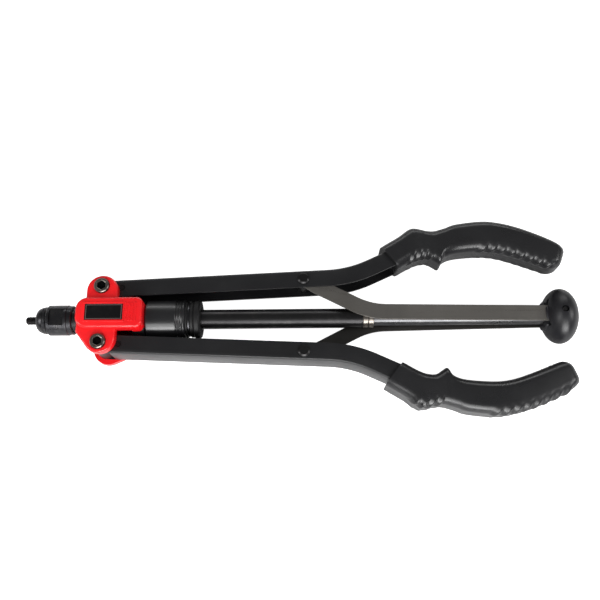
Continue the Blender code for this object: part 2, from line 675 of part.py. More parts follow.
def build_head():
    """The red casting with its ears, and the plate on its top."""
    top = HEAD_HEIGHT / 2
    head = plate("head_casting", head_outline(), -top, top, RED_PAINT)
    bevel(head, HEAD_EDGE_RADIUS, 2, 60)

    half = HEAD_WIDTH / 2
    ear_points = []
    for side in (1, -1):
        ear_points += circle_points((PIVOT_X, side * PIVOT_OFFSET), EAR_RADIUS, 0.0, math.tau, STEPS_SMALL)[:-1]
        ear_points += [(PIVOT_X - EAR_FRONT_REACH, side * half), (PIVOT_X + EAR_REAR_REACH, side * half)]
    ears = hull_prism("ears", ear_points, -EAR_Z, EAR_Z)
    bevel(ears, EAR_EDGE_RADIUS, 2, 60)
    cut(head, ears, "UNION")

    window_reach = PIVOT_OFFSET + EAR_RADIUS + WINDOW_MARGIN
    cut(head, box(
        "arm_window",
        (WINDOW_FRONT_X, -window_reach, -CHEEK_Z),
        (WINDOW_REAR_X, window_reach, CHEEK_Z),
        is_cutter=True,
    ))
    cut(head, disc(
        "sleeve_bore", HEAD_FRONT_X - OVERCUT, WINDOW_FRONT_X + OVERCUT, SLEEVE_RADIUS + RUNNING_GAP, is_cutter=True
    ))
    cut(head, disc(
        "barrel_thread", WINDOW_REAR_X - OVERCUT, HEAD_REAR_X + OVERCUT, BARREL_SPIGOT_RADIUS + GAP, is_cutter=True
    ))
    for side, name in ((1, "upper"), (-1, "lower")):
        x, y = PIVOT_X, side * PIVOT_OFFSET
        reach = EAR_Z + OVERCUT
        cut(head, round_bar("bolt_hole_" + name, x, y, -reach, reach, BOLT_RADIUS + GAP, is_cutter=True))
        cut(head, round_bar(
            "bolt_seat_" + name, x, y, EAR_Z - BOLT_HEAD_SINK, reach, BOLT_HEAD_RADIUS + GAP, is_cutter=True
        ))
        cut(head, round_bar("nut_seat_" + name, x, y, -reach, NUT_SINK - EAR_Z, NUT_RADIUS + GAP, is_cutter=True))

    label_x = (HEAD_FRONT_X + HEAD_REAR_X) / 2 - LABEL_SHIFT
    recess = (LABEL_LENGTH / 2 + GAP, LABEL_WIDTH / 2 + GAP)
    floor = HEAD_HEIGHT / 2 - LABEL_RECESS
    cut(head, box(
        "label_recess",
        (label_x - recess[0], -recess[1], floor),
        (label_x + recess[0], recess[1], floor + LABEL_THICKNESS + OVERCUT),
        is_cutter=True,
    ))
    label_floor = floor + SEAT_GAP
    box(
        "label_plate",
        (label_x - LABEL_LENGTH / 2, -LABEL_WIDTH / 2, label_floor),
        (label_x + LABEL_LENGTH / 2, LABEL_WIDTH / 2, label_floor + LABEL_THICKNESS),
        BLACK_PLASTIC,
    )


def build_pivot(side, name):
    """One arm's shoulder bolt, nut and bush."""
    x, y = PIVOT_X, side * PIVOT_OFFSET
    seat = EAR_Z - BOLT_HEAD_SINK + SEAT_GAP
    head_top = seat + BOLT_HEAD_HEIGHT
    nut_top = NUT_SINK - EAR_Z - SEAT_GAP
    nut_low = nut_top - NUT_HEIGHT
    end = nut_low - BOLT_END_MARGIN
    chamfer = BOLT_CHAMFER
    bolt = turned("pivot_bolt_" + name, (
        (head_top, 0.0),
        (head_top, BOLT_HEAD_RADIUS - chamfer),
        (head_top - chamfer, BOLT_HEAD_RADIUS),
        (seat, BOLT_HEAD_RADIUS),
        (seat, BOLT_RADIUS),
        (end + chamfer, BOLT_RADIUS),
        (end, BOLT_RADIUS - chamfer),
        (end, 0.0),
    ), BRIGHT_STEEL, steps=STEPS_SMALL, upright=(x, y))
    cut(bolt, round_bar(
        "bolt_socket_" + name, x, y, head_top - BOLT_SOCKET_DEPTH, head_top + OVERCUT, BOLT_SOCKET_RADIUS,
        is_cutter=True, steps=6,
    ))
    nut = round_bar("pivot_nut_" + name, x, y, nut_low, nut_top, NUT_RADIUS, BLACK_OXIDE, steps=6)
    cut(nut, round_bar("nut_bore_" + name, x, y, nut_low - OVERCUT, nut_top + OVERCUT, BOLT_RADIUS + GAP, is_cutter=True))
    bush_z = CHEEK_Z - GAP
    ring(
        "pivot_bush_" + name, -bush_z, bush_z, BUSH_RADIUS, BOLT_RADIUS + GAP, BRONZE,
        steps=STEPS_SMALL, upright=(x, y),
    )


def channel_section():
    """The arm's section: (distance outwards from its middle line, height) around the channel."""
    half = CHANNEL_WIDTH / 2
    top = CHANNEL_HEIGHT / 2
    inner = top - CHANNEL_WALL
    centre = (half - CHANNEL_FORM_RADIUS, top - CHANNEL_FORM_RADIUS)
    arc = [tuple(p) for p in circle_points(centre, CHANNEL_FORM_RADIUS, math.pi / 2, 0.0, CORNER_STEPS)]
    upper = [(-half, inner), (-half, top), *arc]
    lower = [(b, -z) for b, z in reversed(upper)]
    return upper + lower + [(half - CHANNEL_WALL, -inner), (half - CHANNEL_WALL, inner)]


def arm_path():
    """The upper arm's middle line in plan, from past the pivot to the end of the tang."""
    lead = CHANNEL_WIDTH / 2
    start = (PIVOT_X - lead * math.cos(ARM_SLOPE), PIVOT_OFFSET - lead * math.sin(ARM_SLOPE))
    run = MOUTH_ALONG + TANG_LENGTH
    end = (BEND_X + run * math.cos(BEND_ANGLE), BEND_OFFSET + run * math.sin(BEND_ANGLE))
    return rounded_path((start, (BEND_X, BEND_OFFSET), end), BEND_RADIUS, PATH_STEPS)


def build_lever(side, name):
    """One formed channel arm, round about its pivot, with its pivot and link pin holes."""
    path = arm_path()
    section = channel_section()
    lines = [offset_path(path, across) for across, height in section]
    rings = [
        [(line[i].x, side * line[i].y, height + AXIS_HEIGHT) for line, (across, height) in zip(lines, section)]
        for i in range(len(path))
    ]
    lever = loft("lever_" + name, rings, BLACK_PAINT)

    reach = CHANNEL_WIDTH / 2 + OVERCUT
    tall = CHANNEL_HEIGHT / 2 + OVERCUT
    along = Vector((math.cos(ARM_SLOPE), math.sin(ARM_SLOPE)))
    across = Vector((-along.y, along.x))
    pivot = Vector((PIVOT_X, PIVOT_OFFSET))
    corners = [pivot - along * reach * s + across * reach * t for s, t in ((2, -1), (2, 1), (0, 1), (0, -1))]
    nib = hull_prism("arm_end_" + name, [(p.x, side * p.y) for p in corners], -tall, tall)
    cut(nib, round_bar(
        "arm_end_round_" + name, PIVOT_X, side * PIVOT_OFFSET, -tall - OVERCUT, tall + OVERCUT, CHANNEL_WIDTH / 2,
        is_cutter=True, steps=STEPS_LARGE,
    ))
    cut(lever, nib)
    web = CHANNEL_WIDTH / 2 - CHANNEL_WALL - OVERCUT
    cam_end = CAM_EYE_RADIUS + 2 * GAP
    spans = ((-2 * reach, web), (-2 * reach, 2 * reach), (cam_end, 2 * reach), (cam_end, web))
    relief = [pivot + along * s + across * t for s, t in spans]
    cut(lever, hull_prism("web_relief_" + name, [(p.x, side * p.y) for p in relief], -FLANGE_Z, FLANGE_Z))
    cut(lever, round_bar(
        "arm_bore_" + name, PIVOT_X, side * PIVOT_OFFSET, -tall, tall, ARM_BORE_RADIUS, is_cutter=True
    ))
    cut(lever, round_bar(
        "link_pin_hole_" + name, LINK_PIN_X, side * LINK_PIN_OFFSET, -tall, tall, LINK_PIN_RADIUS + GAP,
        is_cutter=True,
    ))
    rivet = pivot + along * CAM_TAIL
    cut(lever, round_bar(
        "cam_rivet_hole_" + name, rivet.x, side * rivet.y, -tall, tall, CAM_RIVET_RADIUS + GAP, is_cutter=True
    ))
    return lever


def build_cam(side, name):
    """The toe cam that is riveted between the flanges and pushes the yoke."""
    half = CAM_THICKNESS / 2
    pivot = Vector((PIVOT_X, PIVOT_OFFSET))
    along = Vector((math.cos(ARM_SLOPE), math.sin(ARM_SLOPE)))
    across = Vector((-along.y, along.x)) * CAM_TAIL_WIDTH / 2
    rivet = pivot + along * CAM_TAIL
    toe = pivot + rotated((0.0, -TOE_REACH), -TOE_ANGLE)
    cam = round_bar("toe_cam_" + name, pivot.x, side * pivot.y, -half, half, CAM_EYE_RADIUS, BLACK_OXIDE)
    heading = math.atan2(along.y, along.x)
    end = circle_points(rivet, CAM_TAIL_WIDTH / 2, heading - math.pi / 2, heading + math.pi / 2, 8)
    tail = [pivot + across, pivot - across, *end]
    cut(cam, hull_prism("cam_tail_" + name, [(p.x, side * p.y) for p in tail], -half, half), "UNION")
    down = (toe - pivot).normalized()
    neck_half = Vector((-down.y, down.x)) * TOE_RADIUS * 0.68
    neck = [pivot + neck_half, pivot - neck_half, toe - neck_half, toe + neck_half]
    cut(cam, hull_prism("toe_neck_" + name, [(p.x, side * p.y) for p in neck], -half, half), "UNION")
    tip = round_bar("toe_tip_" + name, toe.x, side * toe.y, -half, half, TOE_RADIUS, is_cutter=True)
    cut(cam, tip, "UNION")
    tall = half + OVERCUT
    cut(cam, round_bar("cam_bore_" + name, pivot.x, side * pivot.y, -tall, tall, ARM_BORE_RADIUS, is_cutter=True))
    cut(cam, round_bar(
        "cam_rivet_bore_" + name, rivet.x, side * rivet.y, -tall, tall, CAM_RIVET_RADIUS + GAP, is_cutter=True
    ))
    return cam


def link_outline():
    """Plan of the upper link: an eye at the arm, a knee, and a narrowed end at the knob."""
    knee = (LINK_KNEE_X, LINK_KNEE_OFFSET)
    start = (LINK_PIN_X, LINK_PIN_OFFSET)
    knob = Vector((KNOB_PIN_X, 0.0))
    path = rounded_path((start, knee, knob), LINK_KNEE_RADIUS, PATH_STEPS)
    first = (path[1] - path[0]).normalized()
    last = (knob - path[-2]).normalized()
    eye_run = first * LINK_EYE_RADIUS * 2.5
    body = [path[0] + eye_run, *path[1:-1], knob - last * LINK_NECK_LENGTH]
    left = offset_path(body, LINK_WIDTH / 2)
    right = offset_path(body, -LINK_WIDTH / 2)
    front = math.atan2(first.y, first.x)
    rear = math.atan2(last.y, last.x)
    quarter = math.pi / 2
    eye = circle_points(path[0], LINK_EYE_RADIUS, front + quarter, front + 3 * quarter, 10)
    tip = circle_points(knob, LINK_END_RADIUS, rear - quarter, rear + quarter, 10)
    return eye + right + tip + list(reversed(left))


def link_slot_points():
    """Circles that the knob pin covers in the upper link while the arms open."""
    points = []
    for i in range(SLOT_STATIONS + 1):
        share = i / SLOT_STATIONS
        opening = ARM_OPENING * share
        turn = (LINK_ANGLE_OPEN - LINK_ANGLE_REST) * share
        place = Vector((KNOB_PIN_X, 0.0)) + rotated((-knob_overrun(opening), 0.0), turn)
        points += circle_points(place, KNOB_PIN_RADIUS + LINK_SLOT_GAP, 0.0, math.tau, SLOT_STEPS)[:-1]
    return points


def build_link(side, name):
    """One flat link, above the guide tube for the upper arm and under it for the lower."""
    low, high = sorted((side * LINK_LOW_Z, side * LINK_TOP_Z))
    outline = [(p.x, side * p.y) for p in link_outline()]
    link = plate("link_" + name, outline, low, high, BARE_STEEL)
    cut(link, round_bar(
        "link_eye_" + name, LINK_PIN_X, side * LINK_PIN_OFFSET, low - OVERCUT, high + OVERCUT,
        LINK_PIN_RADIUS + RUNNING_GAP, is_cutter=True,
    ))
    slot = [(p.x, side * p.y) for p in link_slot_points()]
    cut(link, hull_prism("link_slot_" + name, slot, low - OVERCUT, high + OVERCUT))
    return link


def build_link_pin(side, name):
    """The pin that joins arm and link, and the sleeve that holds the link against its flange."""
    place = (LINK_PIN_X, side * LINK_PIN_OFFSET)
    seat = CHANNEL_HEIGHT / 2 + GAP
    end = seat + LINK_PIN_HEAD_HEIGHT
    shoulder = seat + LINK_PIN_HEAD_HEIGHT * 0.4
    dome = LINK_PIN_HEAD_RADIUS * 0.75
    upper_half = [
        (end, 0.0), (end, dome), (shoulder, LINK_PIN_HEAD_RADIUS), (seat, LINK_PIN_HEAD_RADIUS),
        (seat, LINK_PIN_RADIUS),
    ]
    lower_half = [(-z, radius) for z, radius in reversed(upper_half)]
    pin = turned(
        "link_pin_" + name, upper_half + lower_half, BRIGHT_STEEL, steps=STEPS_SMALL, upright=place
    )
    far = GAP - FLANGE_Z
    near = LINK_LOW_Z - GAP
    low, high = sorted((side * far, side * near))
    sleeve = ring(
        "link_spacer_" + name, low, high, LINK_EYE_RADIUS, LINK_PIN_RADIUS + GAP, BRIGHT_STEEL,
        steps=STEPS_SMALL, upright=place,
    )
    return pin, sleeve


def between(values, share, index):
    """Catmull-Rom value between two neighbours of a row, its ends held."""
    last = len(values) - 1
    a, b, c, d = (values[min(max(index + k, 0), last)] for k in (-1, 0, 1, 2))
    square, cube = share * share, share ** 3
    return 0.5 * (2 * b + (c - a) * share + (2 * a - 5 * b + 4 * c - d) * square + (3 * b - a - 3 * c + d) * cube)


def grip_row(share):
    """Outer point, inner point and half height of the upper grip, a share of the stations along."""
    rows = [[*outer, *inner, tall] for outer, inner, tall in GRIP_STATIONS]
    last = len(rows) - 1
    place = min(max(share, 0.0), float(last))
    index = min(int(place), last - 1)
    row = [between(column, place - index, index) * MM for column in zip(*rows)]
    mouth = Vector((MOUTH_X, MOUTH_OFFSET))
    return Vector(row[0:2]) + mouth, Vector(row[2:4]) + mouth, row[4]


def grip_reach(share):
    """How far the grip's middle line has come in X from the mouth, at a share of its stations."""
    outer, inner, tall = grip_row(share)
    return (outer.x + inner.x) / 2 - MOUTH_X


def share_at(reach):
    """The share of the stations at which the grip's middle line has come that far."""
    low, high = 0.0, len(GRIP_STATIONS) - 1.0
    for i in range(24):
        middle = (low + high) / 2
        if grip_reach(middle) < reach:
            low = middle
        else:
            high = middle
    return low


def grip_places():
    """(share of the stations, rib height, slant) of each ring of the grip, from the mouth."""
    ribbed = []
    for (start, end), count in zip(RIB_SPANS, RIB_COUNTS):
        pitch = (end - start) / count
        for i in range(count):
            ribbed.append((share_at(start + i * pitch), 0.0, RIB_SLANT))
            ribbed.append((share_at(start + (i + RIB_CREST) * pitch), RIB_HEIGHT, RIB_SLANT))
        ribbed.append((share_at(end), 0.0, RIB_SLANT))
    margin = RIB_SLANT * GRIP_CORNER
    plain = []
    for i in range(2 * len(GRIP_STATIONS) - 1):
        reach = grip_reach(i / 2)
        if all(reach < start - margin or reach > end + margin for start, end in RIB_SPANS):
            plain.append((i / 2, 0.0, 0.0))
    return sorted(ribbed + plain)


def grip_section(reach, tall):
    """(sideways, height, share of the rib) around one section of the grip."""
    corner = min(GRIP_CORNER, reach * 0.6, tall * 0.6)
    points = []
    for quarter, (right, up) in enumerate(((1, 1), (-1, 1), (-1, -1), (1, -1))):
        centre = (right * (reach - corner), up * (tall - corner))
        start = quarter * math.pi / 2
        arc = [
            (b, z, min(abs(b - centre[0]) / corner * 1.6, 1.0))
            for b, z in circle_points(centre, corner, start, start + math.pi / 2, CORNER_STEPS)
        ]
        band = (right * reach, up * tall * RIB_LOW_LEVEL, 0.0)
        points += [band, *arc] if right == up else [*arc, band]
    return points


def grip_ring(share, rib, slant, side):
    """One rounded section of a grip, leaning with the ribs and raised where a rib crosses it."""
    outer, inner, tall = grip_row(share)
    reach = (outer - inner).length / 2
    along = grip_reach(share)
    points = []
    for b, z, raised in grip_section(reach, tall):
        lean = slant * (abs(z) - tall / 2)
        near, far = (outer, inner) if slant == 0.0 else grip_row(share_at(along + lean))[:2]
        width = (near - far).length / 2
        sideways = b * width / reach + math.copysign(rib * raised, b)
        place = (near + far) / 2 + (near - far).normalized() * sideways
        points.append((place.x, side * place.y, z + AXIS_HEIGHT))
    return points


def build_grip(side, name):
    """One moulded grip with the pocket that takes the arm's tang."""
    rings = [grip_ring(*place, side) for place in grip_places()]
    grip = loft("grip_" + name, rings, BLACK_PLASTIC)
    along = Vector((math.cos(BEND_ANGLE), math.sin(BEND_ANGLE)))
    across = Vector((-along.y, along.x)) * (CHANNEL_WIDTH / 2 + GAP)
    mouth = Vector((MOUTH_X, MOUTH_OFFSET))
    near = mouth - along * POCKET_LEAD
    far = mouth + along * (TANG_LENGTH + GAP)
    tall = CHANNEL_HEIGHT / 2 + GAP
    pocket = [near + across, near - across, far - across, far + across]
    cut(grip, hull_prism("tang_pocket_" + name, [(p.x, side * p.y) for p in pocket], -tall, tall))
    return grip


def build_arm(side, name):
    """One arm with everything that turns with it, and its link."""
    build_pivot(side, name)
    lever = build_lever(side, name)
    cam = build_cam(side, name)
    along = Vector((math.cos(ARM_SLOPE), math.sin(ARM_SLOPE)))
    place = Vector((PIVOT_X, PIVOT_OFFSET)) + along * CAM_TAIL
    flush = CHANNEL_HEIGHT / 2
    rivet = round_bar(
        "cam_rivet_" + name, place.x, side * place.y, -flush, flush, CAM_RIVET_RADIUS, BLACK_OXIDE, steps=STEPS_SMALL
    )
    pin, sleeve = build_link_pin(side, name)
    grip = build_grip(side, name)
    carry(name + "_arm_hinge", (PIVOT_X, side * PIVOT_OFFSET), (lever, cam, rivet, pin, sleeve, grip))
    carry(name + "_link_hinge", (LINK_PIN_X, side * LINK_PIN_OFFSET), (build_link(side, name),))


def knob_profile():
    """The knob's rounded outline, rear pole first."""
    centre = KNOB_END_X - KNOB_CROWN_LENGTH
    length = KNOB_CROWN_LENGTH / math.cos(KNOB_FACE_ANGLE)
    outline = [(KNOB_END_X, 0.0)]
    for i in range(KNOB_ROWS + 1):
        angle = KNOB_FACE_ANGLE + (KNOB_HUB_ANGLE - KNOB_FACE_ANGLE) * i / KNOB_ROWS
        outline.append((centre + length * math.cos(angle), KNOB_RADIUS * math.sin(angle)))
    front = KNOB_END_X - KNOB_LENGTH
    hub = outline[-1][1]
    return [*outline, (front + KNOB_HUB_CHAMFER, hub), (front, hub - KNOB_HUB_CHAMFER), (front, 0.0)]


def knob_slot_points(side):
    """Circles that the upper link's end covers in the knob while the arms open."""
    points = []
    stations = ((0.0, LINK_END_RADIUS), (-LINK_NECK_LENGTH, LINK_WIDTH / 2), (-KNOB_SLOT_REACH, LINK_WIDTH / 2))
    for i in range(SLOT_STATIONS):
        share = i / (SLOT_STATIONS - 1)
        turn = (LINK_ANGLE_OPEN - LINK_ANGLE_REST) * share
        end = Vector((KNOB_PIN_X + knob_overrun(ARM_OPENING * share), 0.0))
        for along, radius in stations:
            place = end + rotated((along, -along * LINK_KNEE_OFFSET / (KNOB_PIN_X - LINK_KNEE_X)), -turn)
            points += circle_points(place, radius + GAP, 0.0, math.tau, SLOT_STEPS)[:-1]
    return [(p.x, side * p.y) for p in points]


def build_plunger():
    """Knob, its pin, the push rod and the slotted nut in the rod's front end."""
    rod_rear = ROD_REAR_X
    rod = ring(
        "push_rod", ROD_FRONT_X + NUT_FLANGE_LENGTH + GAP, rod_rear, ROD_RADIUS, ROD_BORE_RADIUS, BRIGHT_STEEL,
        steps=STEPS_MEDIUM,
    )
    knob = turned("knob", knob_profile(), BLACK_PLASTIC)
    front = KNOB_END_X - KNOB_LENGTH
    cut(knob, disc("rod_socket", front - OVERCUT, rod_rear + GAP, ROD_RADIUS + GAP, is_cutter=True))
    reach = KNOB_RADIUS + OVERCUT
    for item in (knob, rod):
        cut(item, round_bar(
            "cross_hole_" + item.name, KNOB_PIN_X, 0.0, -reach, reach, KNOB_PIN_RADIUS + GAP, is_cutter=True
        ))
    for side, name in ((1, "upper"), (-1, "lower")):
        low, high = sorted((side * (LINK_LOW_Z - GAP), side * (LINK_TOP_Z + GAP)))
        cut(knob, hull_prism("knob_slot_" + name, knob_slot_points(side), low, high))
    pin_end = KNOB_RADIUS - KNOB_PIN_SINK
    chamfer = KNOB_PIN_CHAMFER
    pin = turned("knob_pin", (
        (pin_end, 0.0), (pin_end, KNOB_PIN_RADIUS - chamfer), (pin_end - chamfer, KNOB_PIN_RADIUS),
        (chamfer - pin_end, KNOB_PIN_RADIUS), (-pin_end, KNOB_PIN_RADIUS - chamfer), (-pin_end, 0.0),
    ), BRIGHT_STEEL, steps=STEPS_SMALL, upright=(KNOB_PIN_X, 0.0))

    spigot = ROD_BORE_RADIUS - GAP
    flange_rear = ROD_FRONT_X + NUT_FLANGE_LENGTH
    nut = turned("drive_nut", (
        (flange_rear + NUT_SPIGOT_LENGTH, 0.0),
        (flange_rear + NUT_SPIGOT_LENGTH, spigot),
        (flange_rear, spigot),
        (flange_rear, ROD_RADIUS),
        (ROD_FRONT_X, ROD_RADIUS),
        (ROD_FRONT_X, 0.0),
    ), BRONZE, steps=STEPS_SMALL)
    slot = twisted_bar("drive_slot", ROD_FRONT_X - OVERCUT, flange_rear + NUT_SPIGOT_LENGTH + OVERCUT, GAP, is_cutter=True)
    cut(nut, slot)
    carry("knob_slide", (KNOB_PIN_X, 0.0), (rod, knob, pin, nut))


def twisted_bar(name, front, rear, margin, finish=None, is_cutter=False):
    """A flat bar twisted evenly about the tool's axis, grown by a margin on all sides."""
    step = SPINDLE_LEAD / TWIST_STEPS
    first = math.floor((front - SPINDLE_FRONT_X) / step)
    last = math.ceil((rear - SPINDLE_FRONT_X) / step)
    places = [front] + [SPINDLE_FRONT_X + i * step for i in range(first + 1, last)] + [rear]
    half_width = SPINDLE_WIDTH / 2 + margin
    half_thick = SPINDLE_THICKNESS / 2 + margin
    rings = []
    for x in places:
        angle = math.tau * (x - SPINDLE_FRONT_X) / SPINDLE_LEAD
        corners = [rotated((w * half_width, t * half_thick), angle) for w, t in ((1, 1), (-1, 1), (-1, -1), (1, -1))]
        rings.append([(x, p.x, p.y + AXIS_HEIGHT) for p in corners])
    return loft(name, rings, finish, is_cutter)


def build_mandrel_drive():
    """The mandrel, its holder and the twisted spindle, which turn together."""
    socket_rear = HOLDER_FRONT_X + MANDREL_SOCKET_DEPTH
    tip = MANDREL_TIP_CHAMFER
    mandrel = turned("mandrel", (
        (socket_rear - GAP, 0.0), (socket_rear - GAP, MANDREL_RADIUS), (TIP_X + tip, MANDREL_RADIUS),
        (TIP_X, MANDREL_RADIUS - tip), (TIP_X, 0.0),
    ), BLACK_OXIDE, steps=STEPS_SMALL)
    collar_rear = COLLAR_FRONT_X + THRUST_COLLAR_LENGTH
    collar_radius = BARREL_CAVITY_RADIUS - GAP
    holder = turned("mandrel_holder", (
        (HOLDER_REAR_X, 0.0),
        (HOLDER_REAR_X, HOLDER_TAIL_RADIUS),
        (collar_rear, HOLDER_TAIL_RADIUS),
        (collar_rear, collar_radius),
        (COLLAR_FRONT_X, collar_radius),
        (COLLAR_FRONT_X, HOLDER_RADIUS),
        (HOLDER_FRONT_X, HOLDER_RADIUS),
        (HOLDER_FRONT_X, MANDREL_RADIUS + GAP),
        (socket_rear, MANDREL_RADIUS + GAP),
        (socket_rear, 0.0),
    ), BLACK_OXIDE, steps=STEPS_SMALL)
    seat = twisted_bar("spindle_seat", SPINDLE_FRONT_X - GAP, HOLDER_REAR_X + OVERCUT, GAP, is_cutter=True)
    cut(holder, seat)
    spindle = twisted_bar("twisted_spindle", SPINDLE_FRONT_X, SPINDLE_REAR_X, 0.0, BRIGHT_STEEL)
    carry("mandrel_spin", (TIP_X, 0.0), (mandrel, holder, spindle))


def build_barrel():
    """The bearing housing behind the head, its washers and bush, and the guide tube."""
    chamfer = TURNED_CHAMFER
    spigot_front = WINDOW_REAR_X + SPIGOT_SETBACK
    bore = HOLDER_RADIUS + RUNNING_GAP
    rows = [
        (BARREL_REAR_X, BARREL_CAVITY_RADIUS),
        (BARREL_REAR_X, BARREL_RADIUS - chamfer),
        (BARREL_REAR_X - chamfer, BARREL_RADIUS),
    ]
    first_groove = BARREL_REAR_X - GROOVE_MARGIN
    for i in range(BARREL_GROOVES):
        groove = first_groove - i * GROOVE_PITCH
        rows += [(groove, BARREL_RADIUS), (groove - GROOVE_PITCH / 2, BARREL_RADIUS - GROOVE_DEPTH)]
    rows += [
        (first_groove - BARREL_GROOVES * GROOVE_PITCH, BARREL_RADIUS),
        (BARREL_FRONT_X + chamfer, BARREL_RADIUS),
        (BARREL_FRONT_X, BARREL_RADIUS - chamfer),
        (BARREL_FRONT_X, BARREL_SPIGOT_RADIUS),
        (spigot_front, BARREL_SPIGOT_RADIUS),
        (spigot_front, bore),
        (CAVITY_FRONT_X, bore),
        (CAVITY_FRONT_X, BARREL_CAVITY_RADIUS),
    ]
    turned("bearing_housing", rows, BLACK_PAINT)

    inside = BARREL_CAVITY_RADIUS - GAP
    ring(
        "thrust_washer", WASHER_FRONT_X, WASHER_FRONT_X + THRUST_WASHER_LENGTH, inside, bore, BRONZE,
        steps=STEPS_SMALL,
    )
    ring(
        "spindle_bush", BUSH_FRONT_X, BUSH_FRONT_X + SPINDLE_BUSH_LENGTH, inside,
        HOLDER_TAIL_RADIUS + RUNNING_GAP, BRONZE, steps=STEPS_SMALL,
    )
    ring_front = BARREL_REAR_X + GAP
    ring_rear = BARREL_REAR_X + END_RING_LENGTH
    ring(
        "end_ring", ring_front, ring_rear, END_RING_RADIUS, TUBE_RADIUS + GAP, BRIGHT_STEEL,
        chamfer=END_RING_CHAMFER, steps=STEPS_MEDIUM,
    )
    ring(
        "rear_flange", ring_rear + GAP, ring_rear + FLANGE_LENGTH, FLANGE_RADIUS, TUBE_RADIUS + GAP, BLACK_PAINT,
        chamfer=TURNED_CHAMFER,
    )
    collar_front = TUBE_REAR_X + GAP
    lock_front = collar_front + COLLAR_LENGTH + GAP
    for name, front, rear, finish in (
        ("guide_tube", TUBE_FRONT_X, TUBE_REAR_X, BLACK_OXIDE),
        ("tube_end_collar", collar_front, collar_front + COLLAR_LENGTH, BRIGHT_STEEL),
        ("tube_lock_ring", lock_front, lock_front + COLLAR_LENGTH, BRIGHT_STEEL),
    ):
        ring(name, front, rear, TUBE_RADIUS, TUBE_BORE_RADIUS, finish, steps=STEPS_MEDIUM)


build_nose()
build_head()
for arm_side, arm_name in ((1, "upper"), (-1, "lower")):
    build_arm(arm_side, arm_name)
build_plunger()
build_mandrel_drive()
build_barrel()
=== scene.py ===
"""Looks of the rivet nut tool: its materials, the finer visible pieces and a soft light studio.

Every CAD piece keeps its place. Some are dressed with a rounded edge and a finish, and some, such
as the mandrel and the grips, are replaced with a finer piece that rides on the same body.
"""

import logging
import math
from collections.abc import Callable, Sequence
from dataclasses import dataclass, field
from enum import Enum

import bmesh
import bpy
from mathutils import Matrix, Vector
from mathutils.geometry import convex_hull_2d


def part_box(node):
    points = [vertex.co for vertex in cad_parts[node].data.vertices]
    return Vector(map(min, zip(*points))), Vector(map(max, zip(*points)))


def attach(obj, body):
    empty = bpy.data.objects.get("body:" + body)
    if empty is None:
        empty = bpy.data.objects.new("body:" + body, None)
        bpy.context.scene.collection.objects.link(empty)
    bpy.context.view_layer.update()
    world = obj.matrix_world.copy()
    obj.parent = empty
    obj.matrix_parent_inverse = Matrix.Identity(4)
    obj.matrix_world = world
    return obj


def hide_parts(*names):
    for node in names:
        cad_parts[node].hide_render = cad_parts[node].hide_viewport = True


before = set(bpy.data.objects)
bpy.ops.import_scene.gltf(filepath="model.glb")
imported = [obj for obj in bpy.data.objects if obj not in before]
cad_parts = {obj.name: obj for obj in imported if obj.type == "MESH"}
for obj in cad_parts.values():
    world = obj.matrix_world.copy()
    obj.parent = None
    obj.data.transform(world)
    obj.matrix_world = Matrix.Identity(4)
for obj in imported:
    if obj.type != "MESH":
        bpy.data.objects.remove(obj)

LOG = logging.getLogger("rivet_nut_tool")

MM = 0.001
AXIS_HEIGHT = 20.0 * MM
PHOTO_SIDE = 600
SENSOR_WIDTH = 36.0
MERGE_DISTANCE = 0.002 * MM
TURNED_STEPS = 96
BAR_STEPS = 48
NOISE_MIDDLE = 0.5
NODE_SPACING = 190
TINY = 1e-9

# Angles in degrees past which an edge of a piece stays sharp.
TURNED_SHARP = 24
CAST_SHARP = 28
PLAIN_SHARP = 30
THREAD_SHARP = 50
GRIP_SHARP = 60

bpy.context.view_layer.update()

Color = tuple[float, float, float]


class Slot(Enum):
    """Material slots of the part's record, listed beside some of the finer pieces."""

    RED_PAINT = "red_paint"
    LABEL = "label"
    BLACK_PAINT = "black_paint"
    BLACK_PLASTIC = "black_plastic"
    BLACK_OXIDE = "black_oxide"
    BARE_STEEL = "bare_steel"
    BRIGHT_STEEL = "bright_steel"


@dataclass(frozen=True)
class Finish:
    """One surface finish, with the amounts that its shader groups take.

    Grain is a fine relief, wear shows a second colour in patches, and lines are the marks that
    turning leaves across the tool's axis.
    """

    name: str
    color: Color
    roughness: float
    metallic: float = 0.0
    worn_color: Color = (0.3, 0.3, 0.3)
    worn_roughness: float = 0.4
    wear: float = 0.0
    wear_scale: float = 60.0
    mottle: float = 0.15
    grain: float = 0.0
    grain_scale: float = 900.0
    grain_stretch: Color = (1.0, 1.0, 1.0)
    lines: float = 0.0
    line_scale: float = 1400.0
    smudge: float = 0.1
    coat: float = 0.0
    coat_roughness: float = 0.1
    specular: float = 0.5


RED_ENAMEL = Finish(
    "red_enamel",
    (0.84, 0.008, 0.012),
    0.3,
    worn_color=(0.2, 0.01, 0.01),
    worn_roughness=0.5,
    wear=0.12,
    wear_scale=90.0,
    mottle=0.18,
    grain=0.35,
    grain_scale=420.0,
    smudge=0.14,
    coat=0.35,
    coat_roughness=0.12,
)
BLACK_ENAMEL = Finish(
    "black_enamel",
    (0.0085, 0.0085, 0.0095),
    0.34,
    worn_color=(0.03, 0.03, 0.03),
    worn_roughness=0.45,
    wear=0.1,
    wear_scale=70.0,
    mottle=0.25,
    grain=0.16,
    grain_scale=500.0,
    smudge=0.16,
    coat=0.25,
    coat_roughness=0.2,
)
SOFT_BLACK = Finish(
    "soft_black",
    (0.006, 0.006, 0.0065),
    0.55,
    worn_color=(0.03, 0.029, 0.028),
    worn_roughness=0.4,
    wear=0.15,
    wear_scale=120.0,
    mottle=0.25,
    grain=0.14,
    grain_scale=700.0,
    smudge=0.14,
    specular=0.3,
)
